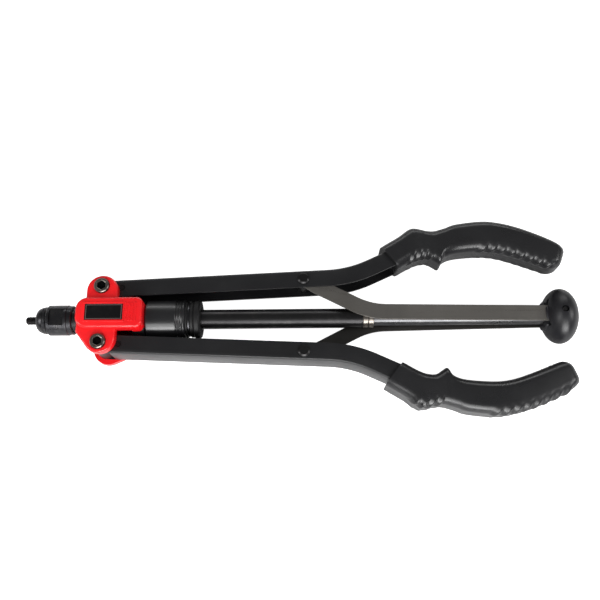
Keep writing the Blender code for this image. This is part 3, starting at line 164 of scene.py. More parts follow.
MOULDED_PLASTIC = Finish(
    "moulded_plastic",
    (0.012, 0.012, 0.013),
    0.3,
    worn_color=(0.022, 0.022, 0.024),
    worn_roughness=0.38,
    wear=0.22,
    wear_scale=45.0,
    mottle=0.2,
    grain=0.16,
    grain_scale=1500.0,
    smudge=0.18,
)
KNOB_PLASTIC = Finish(
    "knob_plastic",
    (0.008, 0.008, 0.01),
    0.4,
    worn_color=(0.02, 0.02, 0.022),
    worn_roughness=0.35,
    wear=0.14,
    wear_scale=50.0,
    mottle=0.15,
    grain=0.14,
    grain_scale=700.0,
    smudge=0.14,
)
BLACKENED_STEEL = Finish(
    "blackened_steel",
    (0.032, 0.031, 0.032),
    0.34,
    metallic=0.85,
    worn_color=(0.1, 0.095, 0.09),
    worn_roughness=0.3,
    wear=0.24,
    wear_scale=110.0,
    mottle=0.3,
    grain=0.12,
    grain_scale=900.0,
    lines=0.25,
    smudge=0.14,
)
GUN_STEEL = Finish(
    "gun_steel",
    (0.05, 0.05, 0.054),
    0.3,
    metallic=0.9,
    worn_color=(0.2, 0.19, 0.18),
    worn_roughness=0.26,
    wear=0.3,
    wear_scale=150.0,
    mottle=0.3,
    grain=0.1,
    grain_scale=1000.0,
    lines=0.3,
    smudge=0.16,
)
# The upper link's steel: the lit copy of the links' one steel, with painted light in a lighter colour than
# the lower link's.
PAINTED_LIT_STEEL = Finish(
    "painted_lit_steel",
    (0.15, 0.142, 0.13),
    0.36,
    metallic=0.6,
    worn_color=(0.09, 0.084, 0.076),
    worn_roughness=0.5,
    wear=0.3,
    wear_scale=55.0,
    mottle=0.28,
    grain=0.2,
    grain_scale=600.0,
    grain_stretch=(0.05, 1.0, 1.0),
    smudge=0.16,
)
# The lower link's steel: the same steel as the upper link's with painted shade, a darker colour for the link
# that lies in shade.
PAINTED_SHADE_STEEL = Finish(
    "painted_shade_steel",
    (0.05, 0.048, 0.045),
    0.36,
    metallic=0.6,
    worn_color=(0.025, 0.024, 0.022),
    worn_roughness=0.5,
    wear=0.3,
    wear_scale=55.0,
    mottle=0.28,
    grain=0.2,
    grain_scale=600.0,
    grain_stretch=(0.05, 1.0, 1.0),
    smudge=0.16,
)
BRIGHT_STEEL = Finish(
    "bright_steel",
    (0.62, 0.62, 0.63),
    0.24,
    metallic=1.0,
    worn_color=(0.33, 0.32, 0.31),
    worn_roughness=0.42,
    wear=0.2,
    wear_scale=120.0,
    mottle=0.15,
    grain=0.06,
    grain_scale=1200.0,
    lines=0.2,
    smudge=0.14,
)
BOLT_STEEL = Finish(
    "bolt_steel",
    (0.2, 0.18, 0.16),
    0.32,
    metallic=0.95,
    worn_color=(0.07, 0.06, 0.05),
    worn_roughness=0.45,
    wear=0.4,
    wear_scale=160.0,
    mottle=0.25,
    grain=0.08,
    grain_scale=1200.0,
    smudge=0.14,
)
ROD_STEEL = Finish(
    "rod_steel",
    (0.1, 0.1, 0.104),
    0.3,
    metallic=0.9,
    worn_color=(0.3, 0.29, 0.28),
    worn_roughness=0.34,
    wear=0.2,
    wear_scale=70.0,
    mottle=0.22,
    grain=0.08,
    grain_scale=800.0,
    grain_stretch=(0.06, 1.0, 1.0),
    lines=0.12,
    smudge=0.16,
)
BEARING_BRONZE = Finish(
    "bearing_bronze",
    (0.44, 0.25, 0.09),
    0.34,
    metallic=1.0,
    worn_color=(0.2, 0.11, 0.05),
    worn_roughness=0.5,
    wear=0.25,
    wear_scale=130.0,
    mottle=0.2,
    grain=0.08,
    lines=0.25,
    smudge=0.12,
)
LABEL_BLACK = Finish(
    "label_black",
    (0.004, 0.004, 0.0045),
    0.3,
    specular=0.25,
    worn_color=(0.05, 0.05, 0.05),
    worn_roughness=0.45,
    wear=0.12,
    wear_scale=140.0,
    mottle=0.1,
    grain=0.05,
    grain_scale=1600.0,
    smudge=0.12,
)
LABEL_LINE = Finish(
    "label_line",
    (0.22, 0.16, 0.15),
    0.35,
    metallic=0.6,
    worn_color=(0.12, 0.11, 0.1),
    worn_roughness=0.5,
    wear=0.25,
    wear_scale=260.0,
    mottle=0.2,
    grain=0.05,
    grain_scale=1600.0,
)
# Near-black painted shade for the inside of the bolt sockets; it is also the stand-in finish of the cutting
# tools, which carve removes.
PAINTED_HOLLOW_SHADE = Finish(
    "painted_hollow_shade",
    (0.003, 0.003, 0.003),
    0.9,
    specular=0.08,
    worn_color=(0.03, 0.028, 0.025),
    worn_roughness=0.8,
    wear=0.2,
    wear_scale=150.0,
    grain=0.1,
)
FLOOR = Finish("studio_floor", (0.9, 0.9, 0.9), 0.6, worn_color=(0.88, 0.88, 0.88), mottle=0.0, smudge=0.0)


class NodeNet:
    """A small helper that adds shader nodes and links them."""

    def __init__(self, tree: bpy.types.NodeTree) -> None:
        """Starts with an empty row of nodes in a tree."""
        self.tree = tree
        self.column = 0

    def add(self, kind: str, **values: object) -> bpy.types.Node:
        """Adds one node and sets its properties.

        Args:
            kind: The node's type name.
            values: Properties of the node.

        Returns:
            The node.
        """
        node = self.tree.nodes.new(kind)
        self.column += 1
        node.location = (self.column * NODE_SPACING, 0)
        for key, value in values.items():
            setattr(node, key, value)
        return node

    def join(self, source: bpy.types.NodeSocket, target: bpy.types.NodeSocket) -> None:
        """Links two sockets."""
        self.tree.links.new(source, target)

    def math(self, operation: str, first: object, second: object) -> bpy.types.NodeSocket:
        """Adds a math node, each input being a socket or a number.

        Args:
            operation: Name of the operation.
            first: First input.
            second: Second input.

        Returns:
            The result's socket.
        """
        node = self.add("ShaderNodeMath", operation=operation)
        for index, value in enumerate((first, second)):
            if isinstance(value, bpy.types.NodeSocket):
                self.join(value, node.inputs[index])
            else:
                node.inputs[index].default_value = value
        return node.outputs[0]


class ShaderGroups:
    """The shader groups that the finishes share, each built once."""

    PATCH_LEVEL, PATCH_GAIN = 0.52, 5.0
    SCRATCH_LEVEL, SCRATCH_GAIN = 0.62, 7.0
    SCRATCH_FINENESS = 9.0
    SCRATCH_STRETCH = (0.25, 1.6, 1.0)
    SCRATCH_TURN = (0.0, 0.0, 0.35)
    MOTTLE_COARSENESS = 0.4
    GRAIN_RELIEF = 0.0003
    LINE_RELIEF = 0.0002
    LINE_SQUEEZE = (1.0, 0.02, 0.02)
    SMUDGE_SCALE = 38.0
    LEAST_ROUGHNESS = 0.05

    def __init__(self) -> None:
        """Builds the four groups."""
        self.wear = self._wear_group()
        self.grain = self._grain_group()
        self.lines = self._lines_group()
        self.smudge = self._smudge_group()

    @staticmethod
    def _new(
        name: str, inputs: Sequence[tuple[str, str, object]], outputs: Sequence[tuple[str, str]]
    ) -> tuple[bpy.types.NodeTree, NodeNet, bpy.types.Node, bpy.types.Node]:
        """Starts a shader group with its inputs and outputs.

        Args:
            name: Name of the group.
            inputs: Label, socket type and value of each input.
            outputs: Label and socket type of each output.

        Returns:
            The group, its helper, and its input and output nodes.
        """
        tree = bpy.data.node_groups.new(name, "ShaderNodeTree")
        for label, kind, value in inputs:
            socket = tree.interface.new_socket(name=label, in_out="INPUT", socket_type=kind)
            if value is not None:
                socket.default_value = value
        for label, kind in outputs:
            tree.interface.new_socket(name=label, in_out="OUTPUT", socket_type=kind)
        net = NodeNet(tree)
        return tree, net, net.add("NodeGroupInput"), net.add("NodeGroupOutput")

    def _wear_group(self) -> bpy.types.NodeTree:
        """Patches and fine scratches of a second colour over the first, with a soft mottle.

        Returns:
            The group.
        """
        tree, net, entry, leave = self._new(
            "worn_color",
            (
                ("Color", "NodeSocketColor", (0.5, 0.5, 0.5, 1.0)),
                ("Worn Color", "NodeSocketColor", (0.3, 0.3, 0.3, 1.0)),
                ("Amount", "NodeSocketFloat", 0.1),
                ("Scale", "NodeSocketFloat", 60.0),
                ("Mottle", "NodeSocketFloat", 0.1),
            ),
            (("Color", "NodeSocketColor"), ("Mask", "NodeSocketFloat")),
        )
        place = net.add("ShaderNodeTexCoord").outputs["Object"]
        patches = net.add("ShaderNodeTexNoise")
        patches.inputs["Detail"].default_value = 8.0
        patches.inputs["Roughness"].default_value = 0.68
        net.join(place, patches.inputs["Vector"])
        net.join(entry.outputs["Scale"], patches.inputs["Scale"])
        stretch = net.add("ShaderNodeMapping")
        stretch.inputs["Scale"].default_value = self.SCRATCH_STRETCH
        stretch.inputs["Rotation"].default_value = self.SCRATCH_TURN
        net.join(place, stretch.inputs["Vector"])
        scratches = net.add("ShaderNodeTexNoise")
        scratches.inputs["Detail"].default_value = 3.0
        net.join(stretch.outputs[0], scratches.inputs["Vector"])
        fine_scale = net.math("MULTIPLY", entry.outputs["Scale"], self.SCRATCH_FINENESS)
        net.join(fine_scale, scratches.inputs["Scale"])
        patch_level = net.math("SUBTRACT", patches.outputs["Fac"], self.PATCH_LEVEL)
        patch_mask = net.math("MULTIPLY", patch_level, self.PATCH_GAIN)
        scratch_level = net.math("SUBTRACT", scratches.outputs["Fac"], self.SCRATCH_LEVEL)
        scratch_mask = net.math("MULTIPLY", scratch_level, self.SCRATCH_GAIN)
        both = net.math("MAXIMUM", patch_mask, scratch_mask)
        clamp = net.add("ShaderNodeClamp")
        net.join(both, clamp.inputs["Value"])
        mask = net.math("MULTIPLY", clamp.outputs[0], entry.outputs["Amount"])
        shade = net.add("ShaderNodeTexNoise")
        shade.inputs["Detail"].default_value = 2.0
        net.join(place, shade.inputs["Vector"])
        coarse_scale = net.math("MULTIPLY", entry.outputs["Scale"], self.MOTTLE_COARSENESS)
        net.join(coarse_scale, shade.inputs["Scale"])
        swing = net.math("SUBTRACT", shade.outputs["Fac"], NOISE_MIDDLE)
        swing = net.math("MULTIPLY", swing, entry.outputs["Mottle"])
        swing = net.math("MULTIPLY_ADD", swing, 2.0)
        swing.node.inputs[2].default_value = 1.0
        tint = net.add("ShaderNodeVectorMath", operation="SCALE")
        net.join(entry.outputs["Color"], tint.inputs[0])
        net.join(swing, tint.inputs["Scale"])
        mix = net.add("ShaderNodeMix", data_type="RGBA")
        net.join(mask, mix.inputs["Factor"])
        net.join(tint.outputs[0], mix.inputs["A"])
        net.join(entry.outputs["Worn Color"], mix.inputs["B"])
        net.join(mix.outputs["Result"], leave.inputs["Color"])
        net.join(mask, leave.inputs["Mask"])
        return tree

    def _grain_group(self) -> bpy.types.NodeTree:
        """A fine relief, stretched along an axis for a brushed surface.

        Returns:
            The group.
        """
        tree, net, entry, leave = self._new(
            "fine_grain",
            (
                ("Strength", "NodeSocketFloat", 0.1),
                ("Scale", "NodeSocketFloat", 900.0),
                ("Stretch", "NodeSocketVector", (1.0, 1.0, 1.0)),
                ("Normal", "NodeSocketVector", None),
            ),
            (("Normal", "NodeSocketVector"),),
        )
        place = net.add("ShaderNodeTexCoord").outputs["Object"]
        stretch = net.add("ShaderNodeVectorMath", operation="MULTIPLY")
        net.join(place, stretch.inputs[0])
        net.join(entry.outputs["Stretch"], stretch.inputs[1])
        noise = net.add("ShaderNodeTexNoise")
        noise.inputs["Detail"].default_value = 4.0
        net.join(stretch.outputs[0], noise.inputs["Vector"])
        net.join(entry.outputs["Scale"], noise.inputs["Scale"])
        bump = net.add("ShaderNodeBump")
        bump.inputs["Distance"].default_value = self.GRAIN_RELIEF
        net.join(noise.outputs["Fac"], bump.inputs["Height"])
        net.join(entry.outputs["Strength"], bump.inputs["Strength"])
        net.join(entry.outputs["Normal"], bump.inputs["Normal"])
        net.join(bump.outputs[0], leave.inputs["Normal"])
        return tree

    def _lines_group(self) -> bpy.types.NodeTree:
        """Fine turning marks across the tool's axis.

        Returns:
            The group.
        """
        tree, net, entry, leave = self._new(
            "turning_lines",
            (("Strength", "NodeSocketFloat", 0.1), ("Scale", "NodeSocketFloat", 1400.0)),
            (("Normal", "NodeSocketVector"),),
        )
        place = net.add("ShaderNodeTexCoord").outputs["Object"]
        squeeze = net.add("ShaderNodeVectorMath", operation="MULTIPLY")
        squeeze.inputs[1].default_value = self.LINE_SQUEEZE
        net.join(place, squeeze.inputs[0])
        noise = net.add("ShaderNodeTexNoise")
        noise.inputs["Detail"].default_value = 3.0
        net.join(squeeze.outputs[0], noise.inputs["Vector"])
        net.join(entry.outputs["Scale"], noise.inputs["Scale"])
        bump = net.add("ShaderNodeBump")
        bump.inputs["Distance"].default_value = self.LINE_RELIEF
        net.join(noise.outputs["Fac"], bump.inputs["Height"])
        net.join(entry.outputs["Strength"], bump.inputs["Strength"])
        net.join(bump.outputs[0], leave.inputs["Normal"])
        return tree

    def _smudge_group(self) -> bpy.types.NodeTree:
        """Roughness that shifts softly, as handling leaves it, and rises where the finish is worn.

        Returns:
            The group.
        """
        tree, net, entry, leave = self._new(
            "smudged_roughness",
            (
                ("Roughness", "NodeSocketFloat", 0.4),
                ("Worn Roughness", "NodeSocketFloat", 0.4),
                ("Mask", "NodeSocketFloat", 0.0),
                ("Amount", "NodeSocketFloat", 0.1),
            ),
            (("Roughness", "NodeSocketFloat"),),
        )
        place = net.add("ShaderNodeTexCoord").outputs["Object"]
        noise = net.add("ShaderNodeTexNoise")
        noise.inputs["Scale"].default_value = self.SMUDGE_SCALE
        noise.inputs["Detail"].default_value = 5.0
        net.join(place, noise.inputs["Vector"])
        swing = net.math("SUBTRACT", noise.outputs["Fac"], NOISE_MIDDLE)
        swing = net.math("MULTIPLY", swing, entry.outputs["Amount"])
        swing = net.math("MULTIPLY", swing, 2.0)
        mix = net.add("ShaderNodeMix", data_type="FLOAT")
        net.join(entry.outputs["Mask"], mix.inputs["Factor"])
        net.join(entry.outputs["Roughness"], mix.inputs["A"])
        net.join(entry.outputs["Worn Roughness"], mix.inputs["B"])
        total = net.math("ADD", mix.outputs["Result"], swing)
        clamp = net.add("ShaderNodeClamp")
        clamp.inputs["Min"].default_value = self.LEAST_ROUGHNESS
        net.join(total, clamp.inputs["Value"])
        net.join(clamp.outputs[0], leave.inputs["Roughness"])
        return tree


class MaterialShop:
    """Makes each finish's material once and puts it on pieces."""

    def __init__(self) -> None:
        """Starts with the shared groups and no material."""
        self.groups = ShaderGroups()
        self.made: dict[str, bpy.types.Material] = {}

    def material(self, finish: Finish) -> bpy.types.Material:
        """Returns the material of a finish, built on its first use.

        Args:
            finish: The finish.

        Returns:
            The material.
        """
        if finish.name not in self.made:
            self.made[finish.name] = self._build(finish)
        return self.made[finish.name]

    def put_on(self, item: bpy.types.Object, finish: Finish) -> bpy.types.Object:
        """Gives an object one finish all over.

        Args:
            item: The object.
            finish: The finish.

        Returns:
            The same object.
        """
        item.data.materials.clear()
        item.data.materials.append(self.material(finish))
        for polygon in item.data.polygons:
            polygon.material_index = 0
        return item

    def _build(self, finish: Finish) -> bpy.types.Material:
        """Builds a finish's material from the shared groups.

        Args:
            finish: The finish.

        Returns:
            The material.
        """
        material = bpy.data.materials.new(finish.name)
        material.use_nodes = True
        net = NodeNet(material.node_tree)
        shader = next(node for node in material.node_tree.nodes if node.type == "BSDF_PRINCIPLED")
        wear = self._group(net, self.groups.wear)
        wear.inputs["Color"].default_value = (*finish.color, 1.0)
        wear.inputs["Worn Color"].default_value = (*finish.worn_color, 1.0)
        wear.inputs["Amount"].default_value = finish.wear
        wear.inputs["Scale"].default_value = finish.wear_scale
        wear.inputs["Mottle"].default_value = finish.mottle
        smudge = self._group(net, self.groups.smudge)
        smudge.inputs["Roughness"].default_value = finish.roughness
        smudge.inputs["Worn Roughness"].default_value = finish.worn_roughness
        smudge.inputs["Amount"].default_value = finish.smudge
        grain = self._group(net, self.groups.grain)
        grain.inputs["Strength"].default_value = finish.grain
        grain.inputs["Scale"].default_value = finish.grain_scale
        grain.inputs["Stretch"].default_value = finish.grain_stretch
        net.join(wear.outputs["Color"], shader.inputs["Base Color"])
        net.join(wear.outputs["Mask"], smudge.inputs["Mask"])
        net.join(smudge.outputs["Roughness"], shader.inputs["Roughness"])
        if finish.lines > 0.0:
            lines = self._group(net, self.groups.lines)
            lines.inputs["Strength"].default_value = finish.lines
            lines.inputs["Scale"].default_value = finish.line_scale
            net.join(lines.outputs["Normal"], grain.inputs["Normal"])
        else:
            geometry = net.add("ShaderNodeNewGeometry")
            net.join(geometry.outputs["Normal"], grain.inputs["Normal"])
        net.join(grain.outputs["Normal"], shader.inputs["Normal"])
        shader.inputs["Metallic"].default_value = finish.metallic
        shader.inputs["Specular IOR Level"].default_value = finish.specular
        shader.inputs["Coat Weight"].default_value = finish.coat
        shader.inputs["Coat Roughness"].default_value = finish.coat_roughness
        return material

    @staticmethod
    def _group(net: NodeNet, tree: bpy.types.NodeTree) -> bpy.types.Node:
        """Adds a shader group to a material.

        Args:
            net: The helper that fills the tree.
            tree: The shader group.

        Returns:
            The group's node.
        """
        node = net.add("ShaderNodeGroup")
        node.node_tree = tree
        return node


SHOP = MaterialShop()


def mesh_object(name: str, build: Callable[[bmesh.types.BMesh], None], finish: Finish) -> bpy.types.Object:
    """Makes a mesh object with outward faces from a function that fills a bmesh.

    Args:
        name: Name of the object.
        build: Function that adds the geometry.
        finish: Finish of the whole object.

    Returns:
        The object, linked to the scene.
    """
    mesh = bpy.data.meshes.new(name)
    shape = bmesh.new()
    build(shape)
    bmesh.ops.recalc_face_normals(shape, faces=shape.faces)
    shape.to_mesh(mesh)
    shape.free()
    mesh.shade_smooth()
    item = bpy.data.objects.new(name, mesh)
    bpy.context.scene.collection.objects.link(item)
    return SHOP.put_on(item, finish)


def grid_solid(shape: bmesh.types.BMesh, rings: Sequence[Sequence[Vector]]) -> None:
    """Adds a closed skin through equal rings of points, with a fan at each end.

    Args:
        shape: The bmesh that takes the geometry.
        rings: Rings of points, each with the same count.
    """
    rows = [[shape.verts.new(point) for point in ring] for ring in rings]
    count = len(rows[0])
    for first, second in zip(rows, rows[1:]):
        for i in range(count):
            j = (i + 1) % count
            shape.faces.new((first[i], first[j], second[j], second[i]))
    for row in (rows[0], rows[-1]):
        middle = shape.verts.new(sum((vert.co for vert in row), Vector()) / count)
        for i in range(count):
            shape.faces.new((row[i], row[(i + 1) % count], middle))


def frame_strip(
    name: str,
    outer: tuple[float, float, float, float],
    inner: tuple[float, float, float, float],
    base: float,
    top: float,
    finish: Finish,
) -> bpy.types.Object:
    """Makes a flat rectangular frame between two plan rectangles, each (x0, y0, x1, y1).

    Args:
        name: Name of the object.
        outer: Outer rectangle.
        inner: Inner rectangle.
        base: Height of the bottom.
        top: Height of the top.
        finish: Finish of the whole object.

    Returns:
        The object, linked to the scene.
    """

    def build(shape: bmesh.types.BMesh) -> None:
        """Fills the shape with the frame's four sides.

        Args:
            shape: The bmesh that takes the geometry.
        """
        loops = []
        for x0, y0, x1, y1 in (outer, inner):
            for z in (base, top):
                corners = ((x0, y0), (x1, y0), (x1, y1), (x0, y1))
                loops.append([shape.verts.new((x, y, z)) for x, y in corners])
        outer_base, outer_top, inner_base, inner_top = loops
        for first, second in (
            (outer_base, outer_top),
            (outer_top, inner_top),
            (inner_top, inner_base),
            (inner_base, outer_base),
        ):
            for i in range(4):
                j = (i + 1) % 4
                shape.faces.new((first[i], first[j], second[j], second[i]))

    item = mesh_object(name, build, finish)
    auto_smooth(item, PLAIN_SHARP)
    return item


def auto_smooth(item: bpy.types.Object, degrees: float) -> None:
    """Marks edges sharper than an angle as sharp, so that flat and round faces keep apart.

    Args:
        item: The object.
        degrees: Angle in degrees, past which an edge stays sharp.
    """
    shape = bmesh.new()
    shape.from_mesh(item.data)
    limit = math.radians(degrees)
    for edge in shape.edges:
        edge.smooth = edge.calc_face_angle(0.0) < limit
    shape.to_mesh(item.data)
    shape.free()


def round_edges(item: bpy.types.Object, width: float, segments: int = 2, degrees: float = 32.0) -> None:
    """Rounds an object's edges with a live bevel, so that they catch the light.

    Args:
        item: The object.
        width: Width of the bevel.
        segments: Steps across the bevel.
        degrees: Angle in degrees, past which an edge is rounded.
    """
    modifier = item.modifiers.new("edge_round", "BEVEL")
    modifier.width = width
    modifier.segments = segments
    modifier.limit_method = "ANGLE"
    modifier.angle_limit = math.radians(degrees)
    modifier.harden_normals = True
    modifier.use_clamp_overlap = True


def circle(x: float, radius: float, steps: int) -> list[Vector]:
    """Points of a circle round the tool's axis.

    Args:
        x: Place along the tool's axis.
        radius: Radius.
        steps: Count of points round it.

    Returns:
        The points.
    """
    return [
        Vector((x, radius * math.cos(a), AXIS_HEIGHT + radius * math.sin(a)))
        for a in (math.tau * k / steps for k in range(steps))
    ]


def plan_circle(x: float, y: float, radius: float, steps: int) -> list[Vector]:
    """Points of a circle in plan.

    Args:
        x: Place of the centre along the axis.
        y: Place of the centre across the axis.
        radius: Radius.
        steps: Count of points round it.

    Returns:
        The points.
    """
    return [
        Vector((x + radius * math.cos(a), y + radius * math.sin(a)))
        for a in (math.tau * k / steps for k in range(steps))
    ]


def ring_solid(shape: bmesh.types.BMesh, rings: Sequence[Sequence[Vector]]) -> None:
    """Adds a closed skin through equal rings whose last one joins the first, as on a turned ring.

    Args:
        shape: The bmesh that takes the geometry.
        rings: Rings of points, each with the same count.
    """
    rows = [[shape.verts.new(point) for point in ring] for ring in rings]
    count = len(rows[0])
    for first, second in zip(rows, [*rows[1:], rows[0]]):
        for i in range(count):
            j = (i + 1) % count
            shape.faces.new((first[i], first[j], second[j], second[i]))


def hull_outline(points: Sequence[Sequence[float]]) -> list[Vector]:
    """The convex plan outline round some points, anticlockwise.

    Args:
        points: Plan points in any order.

    Returns:
        The outline's points.
    """
    places = [Vector((point[0], point[1])) for point in points]
    outline = [places[index] for index in convex_hull_2d(places)]
    area = sum(a.x * b.y - a.y * b.x for a, b in zip(outline, [*outline[1:], outline[0]]))
    return outline if area > 0.0 else outline[::-1]


def shrunk(outline: Sequence[Vector], distance: float) -> list[Vector]:
    """A convex plan outline, run anticlockwise, with each side moved inwards.

    Args:
        outline: The outline's points.
        distance: How far each side moves.

    Returns:
        The moved points.
    """
    points = []
    for before, here, after in zip([outline[-1], *outline], outline, [*outline[1:], outline[0]]):
        first, second = (here - before).normalized(), (after - here).normalized()
        inward = Vector((-first.y, first.x)) + Vector((-second.y, second.x))
        points.append(here + inward * (distance * 2.0 / max(inward.length_squared, 1.0)))
    return points


def rounded_prism(
    name: str,
    outline: Sequence[Vector],
    low: float,
    high: float,
    radius: float,
    finish: Finish,
    steps: int = 5,
) -> bpy.types.Object:
    """Makes an upright prism over a convex plan outline, with its top and bottom edges rounded.

    Args:
        name: Name of the object.
        outline: Plan points, anticlockwise.
        low: Height of the bottom face.
        high: Height of the top face.
        radius: Radius of the rounded edges.
        finish: Finish of the whole prism.
        steps: Steps of each rounded edge.

    Returns:
        The prism as an object.
    """
    rings = []
    for k in range(steps + 1):
        angle = math.pi / 2 * k / steps
        inset, rise = radius * (1.0 - math.sin(angle)), radius * (1.0 - math.cos(angle))
        rings.append((inset, low + rise))
    rings += [(inset, low + high - z) for inset, z in reversed(rings)]
    points = [[Vector((*point, z)) for point in shrunk(outline, inset)] for inset, z in rings]
    return mesh_object(name, lambda shape: grid_solid(shape, points), finish)


def carve(item: bpy.types.Object, tools: Sequence[bpy.types.Object], operation: str = "DIFFERENCE") -> None:
    """Cuts tools out of a piece, or joins them to it, and leaves the piece a plain mesh.

    Args:
        item: The piece that is changed.
        tools: Objects that are used up by this.
        operation: Name of the boolean operation.
    """
    for tool in tools:
        modifier = item.modifiers.new(tool.name, "BOOLEAN")
        modifier.operation = operation
        modifier.object = tool
        modifier.solver = "EXACT"
    bpy.context.view_layer.update()
    solid = bpy.data.meshes.new_from_object(item.evaluated_get(bpy.context.evaluated_depsgraph_get()))
    item.modifiers.clear()
    item.data = solid
    for tool in tools:
        bpy.data.objects.remove(tool, do_unlink=True)
    item.data.shade_smooth()


def upright_bar(name: str, x: float, y: float, low: float, high: float, radius: float) -> bpy.types.Object:
    """Makes an upright round bar, as a tool for carve.

    Args:
        name: Name of the object.
        x: Place along the tool's axis.
        y: Place across the tool's axis.
        low: Height of the bottom.
        high: Height of the top.
        radius: Radius.

    Returns:
        The object, linked to the scene.
    """
    outline = plan_circle(x, y, radius, BAR_STEPS)
    rings = [[Vector((*point, z)) for point in outline] for z in (low, high)]
    return mesh_object(name, lambda shape: grid_solid(shape, rings), PAINTED_HOLLOW_SHADE)


def axis_bar(name: str, front: float, rear: float, radius: float) -> bpy.types.Object:
    """Makes a round bar on the tool's axis, as a tool for carve."""
    rings = [circle(x, radius, TURNED_STEPS) for x in (front, rear)]
    return mesh_object(name, lambda shape: grid_solid(shape, rings), PAINTED_HOLLOW_SHADE)


def block(name: str, low: tuple[float, float, float], high: tuple[float, float, float]) -> bpy.types.Object:
    """Makes a plain block between two corners, as a tool for carve.

    Args:
        name: Name of the object.
        low: Lowest corner.
        high: Highest corner.

    Returns:
        The object, linked to the scene.
    """
    corners = [(low[0], low[1]), (high[0], low[1]), (high[0], high[1]), (low[0], high[1])]
    rings = [[Vector((*corner, z)) for corner in corners] for z in (low[2], high[2])]
    return mesh_object(name, lambda shape: grid_solid(shape, rings), PAINTED_HOLLOW_SHADE)


class SmoothGroup:
    """A geometry group that joins a CAD piece's loose facets and shades its round faces smooth."""

    def __init__(self) -> None:
        """Builds the group and keeps the key of its angle."""
        tree = bpy.data.node_groups.new("smooth_by_angle", "GeometryNodeTree")
        tree.interface.new_socket(name="Geometry", in_out="INPUT", socket_type="NodeSocketGeometry")
        angle_input = tree.interface.new_socket(name="Angle", in_out="INPUT", socket_type="NodeSocketFloat")
        tree.interface.new_socket(name="Geometry", in_out="OUTPUT", socket_type="NodeSocketGeometry")
        net = NodeNet(tree)
        entry, leave = net.add("NodeGroupInput"), net.add("NodeGroupOutput")
        merge = net.add("GeometryNodeMergeByDistance")
        merge.inputs["Distance"].default_value = MERGE_DISTANCE
        soft = net.add("GeometryNodeSetShadeSmooth", domain="FACE")
        hard = net.add("GeometryNodeSetShadeSmooth", domain="EDGE")
        hard.inputs["Shade Smooth"].default_value = False
        angle = net.add("GeometryNodeInputMeshEdgeAngle")
        compare = net.add("FunctionNodeCompare", data_type="FLOAT", operation="GREATER_THAN")
        net.join(entry.outputs["Geometry"], merge.inputs["Geometry"])
        net.join(merge.outputs["Geometry"], soft.inputs["Geometry"])
        net.join(soft.outputs["Geometry"], hard.inputs["Geometry"])
        net.join(angle.outputs["Unsigned Angle"], compare.inputs[0])
        net.join(entry.outputs["Angle"], compare.inputs[1])
        net.join(compare.outputs["Result"], hard.inputs["Selection"])
        net.join(hard.outputs["Geometry"], leave.inputs["Geometry"])
        self.tree = tree
        self.angle_key = angle_input.identifier

    def apply_to(self, item: bpy.types.Object, degrees: float) -> None:
        """Adds the group as a live modifier, after the imported flat normals are dropped.

        Args:
            item: The object.
            degrees: Angle in degrees, past which an edge stays sharp.
        """
        if "custom_normal" in item.data.attributes:
            item.data.attributes.remove(item.data.attributes["custom_normal"])
        modifier = item.modifiers.new("smooth_by_angle", "NODES")
        modifier.node_group = self.tree
        modifier[self.angle_key] = math.radians(degrees)


@dataclass(frozen=True)
class Dress:
    """How one CAD piece is dressed: its finish and the width of its rounded edges."""

    finish: Finish
    edge: float = 0.0


@dataclass
class CadDressing:
    """Finishes and edges of the CAD pieces that stay in view."""

    dresses: dict[str, Dress] = field(default_factory=dict)
    smooth_degrees: float = PLAIN_SHARP

    def build(self) -> list[bpy.types.Object]:
        """Dresses every CAD piece, by its full name or by the start of it.

        Returns:
            The CAD pieces.
        """
        smoothing = SmoothGroup()
        for name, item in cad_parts.items():
            dress = self._dress_of(name)
            SHOP.put_on(item, dress.finish)
            smoothing.apply_to(item, self.smooth_degrees)
            if dress.edge > 0.0:
                round_edges(item, dress.edge)
        return list(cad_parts.values())

    def _dress_of(self, name: str) -> Dress:
        """Finds the dress whose name matches the longest start of a piece's name.

        Args:
            name: Name of the CAD piece.

        Returns:
            The dress.
        """
        best = max((key for key in self.dresses if name.startswith(key)), key=len, default=None)
        if best is None:
            raise KeyError(f"no finish for {name}")
        return self.dresses[best]


@dataclass
class ThreadedMandrel:
    """The threaded mandrel: a helical ridge on a rod, with a chamfered tip.

    Its body turns, so the thread shows the spin.
    """

    pitch: float = 1.0 * MM
    depth: float = 0.55 * MM
    steps_round: int = 48
    steps_per_pitch: int = 10
    tip_chamfer: float = 0.9 * MM
    flank_start: float = 0.12
    flank_run: float = 0.72

    def build(self) -> list[bpy.types.Object]:
        """Makes the mandrel in place of its CAD piece.

        Returns:
            The pieces that were made.
        """
        low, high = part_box("mandrel")
        crest = (high.z - low.z) / 2
        front, rear = low.x, high.x
        count = int((rear - front) / self.pitch * self.steps_per_pitch)
        rings = []
        for i in range(count + 1):
            x = front + (rear - front) * i / count
            rings.append([self._point(x, front, rear, crest, k) for k in range(self.steps_round)])
        item = mesh_object("threaded_mandrel", lambda shape: grid_solid(shape, rings), BLACKENED_STEEL)
        auto_smooth(item, THREAD_SHARP)
        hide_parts("mandrel")
        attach(item, "mandrel_drive")
        return [item]

    def _point(self, x: float, front: float, rear: float, crest: float, k: int) -> Vector:
        """One point of the threaded skin.

        Args:
            x: Place along the tool's axis.
            front: Place of the front end.
            rear: Place of the rear end.
            crest: Radius at the thread's crest.
            k: Number of the step round.

        Returns:
            The point.
        """
        angle = math.tau * k / self.steps_round
        phase = (x / self.pitch - angle / math.tau) % 1.0
        ridge = 1.0 - abs(2.0 * phase - 1.0)
        flank = min(max((ridge - self.flank_start) / self.flank_run, 0.0), 1.0)
        radius = crest - self.depth * (1.0 - flank)
        radius = min(radius, crest - self.tip_chamfer + (x - front))
        return Vector((x, radius * math.cos(angle), AXIS_HEIGHT + radius * math.sin(angle)))


